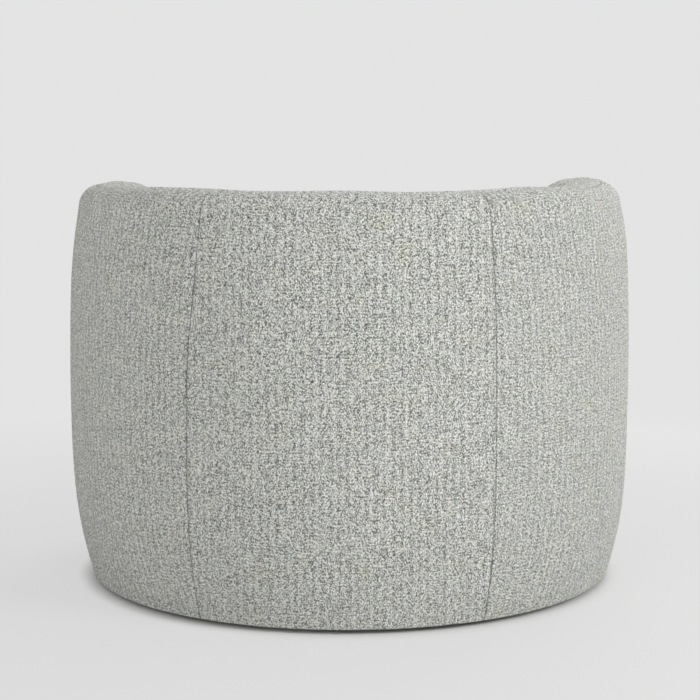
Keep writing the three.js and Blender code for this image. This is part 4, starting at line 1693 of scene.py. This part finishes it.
@dataclass
class Underside:
    """The black fleece under the base, stapled round its edge.

    Attributes:
        wall_inset: from the wall's line to the fleece's edge.
        front_inset: the same, from the seat's line.
        overlap: how far it runs on over the turned-in cloth of the arm fronts.
        low: height of its lower face.
        thickness: of its turned-in edge.
        wrinkle: height of the slack between the staples.
        wrinkle_pitch: distance between its folds.
        calm: share of the way in from the edge over which the slack grows.
        columns: points of each ring.
        count: rings on each side.
        edge_steps: points of the unspaced edge along the wall and along the seat's front.
        staple_steps: points of the edge that the staples follow.
        staple_look: how many of them ahead and behind give a staple's direction.
        staple_pitch: distance between staples.
        staple_inset: from the edge to the staples.
        staple_width: length of a staple's back.
        staple_rise: how far its legs reach into the fleece's back.
        wire: half thickness of its wire.
        wire_sides: sides of its wire.
    """

    wall_inset: float = 100 * MM
    front_inset: float = 30 * MM
    overlap: float = 3.6 * DEGREE
    low: float = 6.7 * MM
    thickness: float = 0.7 * MM
    wrinkle: float = 0.3 * MM
    wrinkle_pitch: float = 60 * MM
    calm: float = 0.1
    columns: int = 600
    count: int = 50
    edge_steps: tuple[int, int] = (300, 200)
    staple_steps: int = 4000
    staple_look: int = 4
    staple_pitch: float = 38 * MM
    staple_inset: float = 9 * MM
    staple_width: float = 11 * MM
    staple_rise: float = 0.25 * MM
    wire: float = 0.35 * MM
    wire_sides: int = 6

    def build(self) -> None:
        """Makes the fleece and its staples and dresses both."""
        outline = self.outline(self.columns)
        section = rounded_lid(self.low, self.low + self.thickness, 0.5 * self.thickness, self.count)
        rings = lid_rings(outline, section)
        slack = cloudy(rings * LEVEL, self.wrinkle_pitch, Seed.FLEECE)
        rings[..., 2] += self.wrinkle * slack * eased(0.0, self.calm, 1.0 - section[:, 1])[:, None]
        fleece = closed("dust_cover_fleece", rings)
        FLEECE.dress(fleece)
        rides(fleece, Body.CHAIR, ["dust_cover"])
        staples = self.staples()

    def outline(self, count: int) -> Array:
        """The fleece's edge: the wall's line and the seat front's, evenly spaced.

        Args:
            count: how many points.

        Returns:
            The points in plan, without the first one again at the end.
        """
        end, start = ARM_END + self.overlap, ARM_END + 0.5 * self.overlap
        wall_steps, front_steps = self.edge_steps
        arc, _ = WALL_OVAL.line(np.linspace(-end, end, wall_steps), self.wall_inset)
        front, _ = SEAT_OVAL.line(np.linspace(start, FULL_TURN - start, front_steps), self.front_inset)
        line = np.concatenate([arc, front, arc[:1]])
        run = travelled(line)
        return points_at(np.linspace(0.0, run[-1], count, endpoint=False), run, line)

    def staples(self) -> bpy.types.Object:
        """A ring of staples: one bent wire, set at even steps of the edge and turned along it.

        Returns:
            The piece that holds them all.
        """
        line = self.outline(self.staple_steps)
        run = travelled(np.concatenate([line, line[:1]]))
        at, run = np.arange(0.0, run[-1], self.staple_pitch), run[:-1]
        place = points_at(at, run, line)
        ahead, behind = (np.roll(line, way * self.staple_look, axis=0) for way in (-1, 1))
        along = unit(points_at(at, run, ahead - behind))
        place = place + unit(SEAT_MIDDLE - place) * self.staple_inset
        across = np.stack([-along[:, 1], along[:, 0]], axis=-1)
        bent = self.bent_wire()
        plan = place[:, None] + along[:, None] * bent[:, :1] + across[:, None] * bent[:, 1:2]
        piece = repeated("dust_cover_staples", upright(plan, bent[:, 2]), self.wire_sides)
        STAPLE_WIRE.dress(piece)
        rides(piece, Body.CHAIR, [])
        return piece

    def bent_wire(self) -> Array:
        """One staple: a ring of points carried down a leg, along the back and up the other leg.

        Returns:
            Rings of points one after another, each end drawn to a point.
        """
        half, rise = self.staple_width / 2.0, self.thickness + self.staple_rise
        path = np.array([[-half, rise], [-half, rise], [-half, 0.0], [half, 0.0], [half, rise], [half, rise]])
        outward = unit(np.array([[-1, 0], [-1, 0], [-1, -1], [1, -1], [1, 0], [1, 0]], float))
        size = np.array([0.0, 1.0, 1.0, 1.0, 1.0, 0.0])[:, None] * self.wire
        swing = turns(self.wire_sides)
        first = path[:, :1] + outward[:, :1] * np.cos(swing) * size
        third = self.low - self.wire + path[:, 1:] + outward[:, 1:] * np.cos(swing) * size
        return np.stack([first, np.sin(swing) * size, third], axis=-1).reshape(-1, 3)


@dataclass(frozen=True)
class Pressure:
    """The air that blows up a cushion in the simulation.

    Attributes:
        force: how hard it presses.
        mass: of one point of the cloth.
        growth: how much larger the cloth is cut than the form.
        quality: steps of the simulation in one frame.
        frames: how long it presses.
        held_reach: from a seam, where the cloth is held and where it is free.
        limit: how far a point may move.
    """

    force: float = 4.0
    mass: float = 0.3
    growth: float = 0.025
    quality: int = 6
    frames: int = 20
    held_reach: tuple[float, float] = (2 * MM, 9 * MM)
    limit: float = 14 * MM

    def pin(self, piece: bpy.types.Object, distance: Array, resting: Array) -> None:
        """Holds the points at the seams, half and in full, and those that rest.

        Args:
            piece: the plain form.
            distance: of each point from its nearest seam.
            resting: True for the points that lie on the deck.
        """
        held = np.maximum(1.0 - eased(*self.held_reach, distance), resting)
        pins = piece.vertex_groups.new(name="held")
        for weight in (0.5, 1.0):
            pins.add(np.flatnonzero(held >= weight).tolist(), weight, "REPLACE")

    def blown(self, piece: bpy.types.Object, name: str) -> bpy.types.Object:
        """The piece after the simulation, each point's move held under the limit by a tanh.

        Args:
            piece: the pinned form.
            name: the new piece's name.

        Returns:
            The new piece.
        """
        rest = places_of(piece.data)
        settings = piece.modifiers.new("Cloth", "CLOTH").settings
        settings.quality = self.quality
        settings.mass = self.mass
        settings.use_pressure = True
        settings.uniform_pressure_force = self.force
        settings.vertex_group_mass = "held"
        settings.shrink_min = -self.growth
        settings.effector_weights.gravity = 0.0
        scene = bpy.context.scene
        for frame in range(1, self.frames + 1):
            scene.frame_set(frame)
        swollen = applied(piece, name)
        scene.frame_set(1)
        move = places_of(swollen.data) - rest
        length = np.linalg.norm(move, axis=1, keepdims=True)
        kept = self.limit * np.tanh(length / self.limit) / np.maximum(length, 1e-9)
        set_places(swollen.data, rest + move * kept)
        return swollen


@dataclass
class Cushion:
    """The loose seat cushion, its top crowned and its sides drawn in at two seams.

    Attributes:
        cloth: the boucle's relief.
        pressure: what swells it.
        foot: height of its underside.
        height: from there to the upper seam.
        seam_rise: from there to the lower seam.
        crown: how far the top rises over its seam.
        crown_power: how square that crown is.
        seam_tuck: how far the sides draw in at a seam.
        rest_inset: from the seat's line to where the underside lies flat.
        rest_reach: how far above the underside points still rest on the deck.
        section_steps: points of the section's top, side, turn and underside.
        voxel: mesh size of the simulated cloth.
        shrink: from the seat's line to its sides.
        columns: points round the plain form.
        relief_reach: from the underside, where the relief ends and where it is full.
        bed_reach: from the underside, up to where points may be lifted to it.
        zip_half_length: half the length of the zip's recess.
        zip_half_width: half its width.
        zip_edge: how far inside and outside that size its edge is rounded.
        zip_place: Y of its middle.
        zip_depth: how deep it is.
        steepness: up to how steep a slope the cloth follows X and Y, as a normal's share of up.
        layer: the third number of its weave, which picks its part of the pattern.
    """

    cloth: Boucle = field(default_factory=lambda: Boucle(seam_depth=2.6 * MM, seam_width=3.2 * MM))
    pressure: Pressure = field(default_factory=Pressure)
    foot: float = 278.8 * MM
    height: float = 118 * MM
    seam_rise: float = 14 * MM
    crown: float = 32 * MM
    crown_power: float = 2.4
    seam_tuck: float = 7 * MM
    rest_inset: float = 26 * MM
    rest_reach: float = 2 * MM
    section_steps: tuple[int, ...] = (24, 16, 8, 16)
    voxel: float = 6.2 * MM
    shrink: float = 3 * MM
    columns: int = 160
    relief_reach: tuple[float, float] = (2 * MM, 12 * MM)
    bed_reach: float = 30 * MM
    zip_half_length: float = 150 * MM
    zip_half_width: float = 11 * MM
    zip_edge: tuple[float, float] = (1 * MM, 3 * MM)
    zip_place: float = 125 * MM
    zip_depth: float = 2.3 * MM
    steepness: float = 0.7
    layer: float = 26.0

    def build(self) -> None:
        """Makes the cushion and dresses it."""
        piece = self.swollen(self.smooth_form())
        finer = piece.modifiers.new("Finer", "SUBSURF")
        finer.levels = finer.render_levels = 1
        piece = applied(piece, "seat_cushion")
        self.sew(piece)
        CUSHION_CLOTH.dress(piece)
        nodes = ["cushion_top_panel", "cushion_boxing", "cushion_bottom_panel", "cushion_foam"]
        rides(piece, Body.CUSHION, nodes)

    def section(self) -> Array:
        """The cushion's section from the top's middle to the underside's.

        The top falls with a power of its share, the sides draw in with the square of the distance
        from their middle, and a quarter circle turns into the underside.

        Returns:
            Rows of inset, share and height.
        """
        share, side, turn, rest = (np.linspace(0.0, 1.0, count) for count in self.section_steps)
        side, turn, rest = side[1:], turn[1:], rest[1:]
        seam, low = self.foot + self.height, self.foot + self.seam_rise
        tuck = self.seam_tuck + self.shrink
        top = [np.full(len(share), tuck), share, seam + self.crown * (1.0 - share**self.crown_power)]
        drawn_in = self.shrink + self.seam_tuck * (2.0 * side - 1.0) ** 2
        sides = [drawn_in, np.ones(len(side)), mixed(seam, low, side)]
        swing = turn * QUARTER_TURN
        edge = [
            mixed(tuck, self.rest_inset, np.sin(swing)),
            np.ones(len(turn)),
            low - self.seam_rise * (1.0 - np.cos(swing)),
        ]
        under = [np.full(len(rest), self.rest_inset), 1.0 - rest, np.full(len(rest), self.foot)]
        return np.concatenate([np.stack(part, axis=-1) for part in (top, sides, edge, under)])

    def smooth_form(self) -> bpy.types.Object:
        """The cushion's plain closed form: its section carried round the seat's line.

        Returns:
            The form, with even faces.
        """
        inset, share, z = self.section().T[..., None]
        plan, _ = SEAT_OVAL.line(turns(self.columns), inset)
        piece = closed("seat_cushion_form", upright(mixed(SEAT_MIDDLE, plan, share[..., None]), z))
        remesh = piece.modifiers.new("Remesh", "REMESH")
        remesh.mode = "VOXEL"
        remesh.voxel_size = self.voxel
        return applied(piece, "seat_cushion_form")

    def swollen(self, piece: bpy.types.Object) -> bpy.types.Object:
        """The form blown up by cloth simulation, held at its seams and where it rests.

        Args:
            piece: the plain form.
        """
        rest = places_of(piece.data)
        distance = self.seam_distance(rest)
        set_numbers(piece.data, "seam", distance)
        set_numbers(piece.data, "rest", rest)
        self.pressure.pin(piece, distance, rest[:, 2] < self.foot + self.rest_reach)
        return self.pressure.blown(piece, "seat_cushion_form")

    def seam_distance(self, places: Array) -> Array:
        """Distance of points of the plain form from the nearest of its two seams.

        Args:
            places: the points.

        Returns:
            One distance for each.
        """
        inset = SEAT_OVAL.inset_of(places) - self.shrink - self.seam_tuck
        upper = np.hypot(inset, places[:, 2] - self.foot - self.height)
        lower = np.hypot(inset, places[:, 2] - self.foot - self.seam_rise)
        return np.minimum(upper, lower)

    def sew(self, piece: bpy.types.Object) -> None:
        """Sinks the seams, raises the loops and presses in the zip's recess.

        Each point moves along its normal by the cloth's relief. Points stay inside the seat's line
        and above the deck, and those over the zip are lifted to its depth.

        Args:
            piece: the fine mesh, with its seam distances stored.
        """
        mesh = piece.data
        places, normals = places_of(mesh), read(mesh.vertices, "normal", 3)
        seam = read(mesh.attributes["seam"].data, "value", 1)[:, 0]
        weave = self.weave_of(places, normals)
        move, loop = self.cloth.relief(places, weave, seam, Seed.CUSHION)
        over = eased(*self.relief_reach, places[:, 2] - self.foot)
        places = places + normals * (move * over)[:, None]
        outside = np.minimum(SEAT_OVAL.inset_of(places), 0.0)
        places[:, :2] += unit(places[:, :2] - SEAT_MIDDLE) * outside[:, None]
        low = places[:, 2] < self.foot + self.bed_reach
        bed = np.maximum(places[:, 2], self.foot + self.zip_depth * self.over_zip(places))
        places[:, 2] = np.where(low, bed, places[:, 2])
        set_places(mesh, places)
        mesh.polygons.foreach_set("use_smooth", np.ones(len(mesh.polygons), bool))
        set_numbers(mesh, "weave", np.concatenate([weave, np.full((len(weave), 1), self.layer)], axis=1))
        set_numbers(mesh, "loop", loop)
        mesh.update()

    def over_zip(self, places: Array) -> Array:
        """1 over the zip's recess, 0 outside it, and eased between them at its edge."""
        beyond = np.abs(places[:, :2] - (0.0, self.zip_place)) - (self.zip_half_length, self.zip_half_width)
        return np.prod(1.0 - eased(-self.zip_edge[0], self.zip_edge[1], beyond), axis=1)

    def weave_of(self, places: Array, normals: Array) -> Array:
        """Places on the flat cloth: X and Y on the top and underside, the way round and Z at the sides.

        Args:
            places: the cushion's points.
            normals: the way the cloth faces at each.

        Returns:
            Points by 2.
        """
        round_side = np.arctan2(places[:, 0], SEAT_OVAL.centre - places[:, 1]) * SEAT_OVAL.half_width
        sides = np.stack([round_side, places[:, 2]], axis=-1)
        return np.where(np.abs(normals[:, 2:]) > self.steepness, places[:, :2], sides)


@dataclass
class ZipChain:
    """The zip under the cushion: two woven tapes and the chain of teeth between them.

    Attributes:
        half_length: half of the zip's length.
        place: Y of the chain.
        low: height of the tapes' lower face.
        thickness: of the tapes.
        width: of both tapes together.
        slit: between each tape and the middle of the chain.
        pitch: distance between neighbouring teeth of one side.
        tooth: length, half width and height of one tooth.
        reach: from the middle of the chain to the middle of a tooth.
        drop: from the tapes' lower face down to the middle of a tooth.
        corners: points of one ring of a tape or a tooth.
    """

    half_length: float = 149 * MM
    place: float = 125 * MM
    low: float = 280.6 * MM
    thickness: float = 0.25 * MM
    width: float = 20 * MM
    slit: float = 0.1 * MM
    pitch: float = 2.4 * MM
    tooth: tuple[float, float, float] = (0.8 * MM, 1.5 * MM, 0.45 * MM)
    reach: float = 0.9 * MM
    drop: float = 0.1 * MM
    corners: int = 8

    def build(self) -> None:
        """Makes the tapes and the teeth and dresses them."""
        for piece, finish in ((self.tapes(), PLATFORM), (self.teeth(), ZIP_METAL)):
            finish.dress(piece)
            rides(piece, Body.CUSHION, [])

    def block(self) -> Array:
        """A pillow-shaped block of half sizes 1: a point, two rings of points and a point.

        The rings are circles raised to the power of a half, which makes them nearly square.

        Returns:
            Four rings of points.
        """
        swing = turns(self.corners) + HALF_TURN / self.corners
        size = np.array([0.0, 1.0, 0.75, 0.0])[:, None]
        x = signed_power(np.cos(swing), 0.5) * size
        y = signed_power(np.sin(swing), 0.5) * size
        z = np.array([1.0, 1.0, -1.0, -1.0])[:, None] + 0.0 * swing
        return np.stack([x, y, z], axis=-1).reshape(-1, 3)

    def tapes(self) -> bpy.types.Object:
        """Two flat tapes that meet at the chain.

        Returns:
            The piece.
        """
        half = np.array([self.half_length, self.width / 4.0 - self.slit, self.thickness / 2.0])
        offset = np.array([[0.0, side.value * self.width / 4.0, 0.0] for side in Side])
        middle = np.array([0.0, self.place, self.low + self.thickness / 2.0]) + offset
        return repeated("zip_tapes", self.block() * half + middle[:, None], self.corners)

    def teeth(self) -> bpy.types.Object:
        """Teeth on alternate sides of the chain, at even steps.

        Returns:
            The piece.
        """
        along = np.arange(-self.half_length + self.pitch, self.half_length - self.pitch, self.pitch / 2.0)
        side = np.where(np.arange(len(along)) % 2 == 0, 1.0, -1.0)
        z = np.full(len(along), self.low - self.drop)
        centres = np.stack([along, self.place + side * self.reach, z], axis=-1)
        half = np.array([self.tooth[0] / 2.0, self.tooth[1], self.tooth[2] / 2.0])
        return repeated("zip_teeth", self.block() * half + centres[:, None], self.corners)


@dataclass
class Framework:
    """The chair's hard parts, which keep their CAD forms and get their finishes.

    Attributes:
        finishes: words in nodes' names, with the finish of each.
        usual: the finish of all others.
    """

    finishes: tuple[tuple[str, Finish], ...] = (
        ("liner", BENT_BOARD),
        ("border_board", BENT_BOARD),
        ("spring", SPRING_STEEL),
        ("glide", GLIDE_PLASTIC),
        ("zip_slider", ZIP_METAL),
    )
    usual: Finish = field(default_factory=lambda: PLYWOOD)

    def build(self, nodes: dict[str, bpy.types.Object]) -> None:
        """Dresses every CAD node that still shows.

        Args:
            nodes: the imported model's nodes by name.
        """
        for name, node in nodes.items():
            if node.hide_render:
                continue
            finish = next((finish for word, finish in self.finishes if word in name), self.usual)
            finish.dress(node)
            LOG.info("%s: keeps its CAD form, in %s", name, finish.name)


# The studio


@dataclass(frozen=True)
class Lamp:
    """A soft square lamp that looks at the chair.

    Attributes:
        name: the lamp's name.
        place: where it hangs.
        size: of its side.
        power: in watts.
        aim: the point that it looks at.
    """

    name: str
    place: tuple[float, float, float]
    size: float
    power: float
    aim: tuple[float, float, float] = (0.0, 0.0, 0.35)

    def build(self) -> None:
        """Hangs the lamp."""
        light = bpy.data.lights.new(self.name, "AREA")
        light.size = self.size
        light.energy = self.power
        lamp = bpy.data.objects.new(self.name, light)
        bpy.context.scene.collection.objects.link(lamp)
        lamp.location = self.place
        way = Vector(self.aim) - Vector(self.place)
        lamp.rotation_euler = way.to_track_quat("-Z", "Y").to_euler()


@dataclass(frozen=True)
class Studio:
    """A pale floor and surroundings with soft light.

    Attributes:
        backdrop: the colour that the camera sees behind the chair.
        floor: the floor's own colour.
        floor_rings: radii of the floor's rings, from its middle to its edge.
        floor_columns: points of each ring.
        tone: the colour that evens out the floor round the chair.
        foot: half width and half depth of the oval that the chair stands on.
        fade: sizes of that oval, in shares, between which the floor turns into the backdrop.
        shade: the same, between which the floor loses most of the chair's shadow.
        evenness: how much of its even tone the floor has from there on.
        ambient: strength of the light from all round.
        lamps: the lamps.
    """

    backdrop: Colour = rgb(227, 228, 227)
    floor: Colour = rgb(216, 216, 215)
    floor_rings: tuple[float, ...] = (0.0, 0.5, 1.0, 2.0, 4.0, 8.0, 30.0)
    floor_columns: int = 64
    tone: Colour = rgb(222, 222, 222)
    foot: tuple[float, float] = (447 * MM, 467 * MM)
    fade: tuple[float, float] = (1.5, 4.2)
    shade: tuple[float, float] = (0.99, 1.07)
    evenness: float = 0.76
    ambient: float = 0.64
    lamps: tuple[Lamp, ...] = (
        Lamp("key_lamp", (-3.1, 2.0, 2.1), 1.4, 86.0),
        Lamp("fill_lamp", (1.6, 3.6, 1.9), 2.0, 46.0),
        Lamp("front_lamp", (-1.4, -3.2, 2.6), 2.6, 84.0),
    )

    def build(self) -> None:
        """Makes the world, the floor and the lamps."""
        self.world()
        self.floor_disc()
        for lamp in self.lamps:
            lamp.build()

    def world(self) -> None:
        """Even light from all round, and the backdrop's colour where the camera or a gloss looks."""
        world = bpy.data.worlds.new("studio")
        bpy.context.scene.world = world
        wiring = cleared(world)
        rays = wiring.add("LightPath")
        seen = wiring.maths("MAXIMUM", rays.outputs["Is Camera Ray"], rays.outputs["Is Glossy Ray"])
        light = wiring.add("Background", {"Color": rgb(255, 255, 255), "Strength": self.ambient})
        shown = wiring.add("Background", {"Color": self.backdrop, "Strength": 1.0})
        both = wiring.add("MixShader", {0: seen, 1: light.outputs[0], 2: shown.outputs[0]})
        wiring.add("OutputWorld", {"Surface": both.outputs[0]})

    def floor_disc(self) -> None:
        """A round floor: rings about the origin, with one point in the middle."""
        radius, angle = np.array(self.floor_rings)[:, None], turns(self.floor_columns)
        plan = np.stack([radius * np.cos(angle), radius * np.sin(angle)], axis=-1)
        floor = closed("studio_floor", upright(plan, 0.0)[:, ::-1])
        floor.data.materials.append(self.floor_material())

    def floor_material(self) -> bpy.types.Material:
        """A matt floor that turns into the backdrop's colour away from the chair.

        Returns:
            The material.
        """
        material = bpy.data.materials.new("StudioFloor")
        wiring = cleared(material)
        place = wiring.add("TexCoord").outputs["Object"]
        centred = wiring.vector("SUBTRACT", place, (0.0, SEAT_OVAL.centre, 0.0))
        shares = wiring.vector("DIVIDE", centred, (*self.foot, 1.0))
        away = wiring.add("VectorMath", {0: shares}, operation="LENGTH").outputs["Value"]
        faded = wiring.ranged(away, *self.fade)
        share = wiring.maths("MAXIMUM", faded, wiring.ranged(away, *self.shade, 0.0, self.evenness))
        near = wiring.add("BsdfDiffuse", {"Color": self.floor})
        far = wiring.add("Emission", {"Color": wiring.blended(faded, self.tone, self.backdrop)})
        seen = wiring.add("LightPath").outputs["Is Camera Ray"]
        factor = wiring.maths("MULTIPLY", share, seen)
        both = wiring.add("MixShader", {0: factor, 1: near.outputs[0], 2: far.outputs[0]})
        wiring.add("OutputMaterial", {"Surface": both.outputs[0]})
        return material


@dataclass(frozen=True)
class PhotoCamera:
    """The camera at the photograph's angle, fitted to the chair's outline in it.

    Attributes:
        distance: from the seat's middle line to the camera, level.
        sideways: how far it stands to one side of that line.
        height: its height.
        turn: its turn about the chair.
        pitch: how far it looks down.
        roll: its tilt.
        focal: focal length in pixels.
        middle: the lens axis in the frame, in pixels from the left.
        frame: width of the frame in pixels.
        sensor: width of Blender's sensor in millimetres.
    """

    distance: float = 3.3524
    sideways: float = 0.0105
    height: float = 0.7985
    turn: float = -1.4 * DEGREE
    pitch: float = 7.12 * DEGREE
    roll: float = -0.236 * DEGREE
    focal: float = 1943.6
    middle: float = 343.43
    frame: float = 700.0
    sensor: float = 36.0

    def build(self) -> None:
        """Places the camera and makes it the scene's."""
        data = bpy.data.cameras.new("photo_camera")
        camera = bpy.data.objects.new("photo_camera", data)
        bpy.context.scene.collection.objects.link(camera)
        bpy.context.scene.camera = camera
        data.sensor_width = self.sensor
        data.lens = self.focal * self.sensor / self.frame
        data.shift_x = (self.frame / 2.0 - self.middle) / self.frame
        sine, cosine = math.sin(self.turn), math.cos(self.turn)
        x = self.sideways * cosine + self.distance * sine
        y = self.distance * cosine - self.sideways * sine + SEAT_OVAL.centre
        level = Vector((-sine, -cosine, 0.0))
        ahead = level * math.cos(self.pitch) - Vector((0.0, 0.0, math.sin(self.pitch)))
        right = ahead.cross(Vector((0.0, 0.0, 1.0))).normalized()
        turned = Matrix((right, right.cross(ahead), -ahead)).transposed().to_4x4()
        rolled = turned @ Matrix.Rotation(self.roll, 4, "Z")
        camera.matrix_world = Matrix.Translation((x, y, self.height)) @ rolled


def main() -> None:
    """Loads the frame and builds the chair's looks and the studio."""
    logging.basicConfig(level=logging.INFO, format="%(name)s %(message)s")
    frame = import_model()
    for pattern in (boucle_yarn, wood_grain, plain_weave, speckle):
        pattern()
    for part in (PhotoCamera, Studio, Upholstery, SeatFront, Deck, Underside, Cushion, ZipChain):
        part().build()
    Framework().build(frame["nodes"])
    bpy.context.scene.view_settings.view_transform = "Standard"


if __name__ == "__main__":
    main()
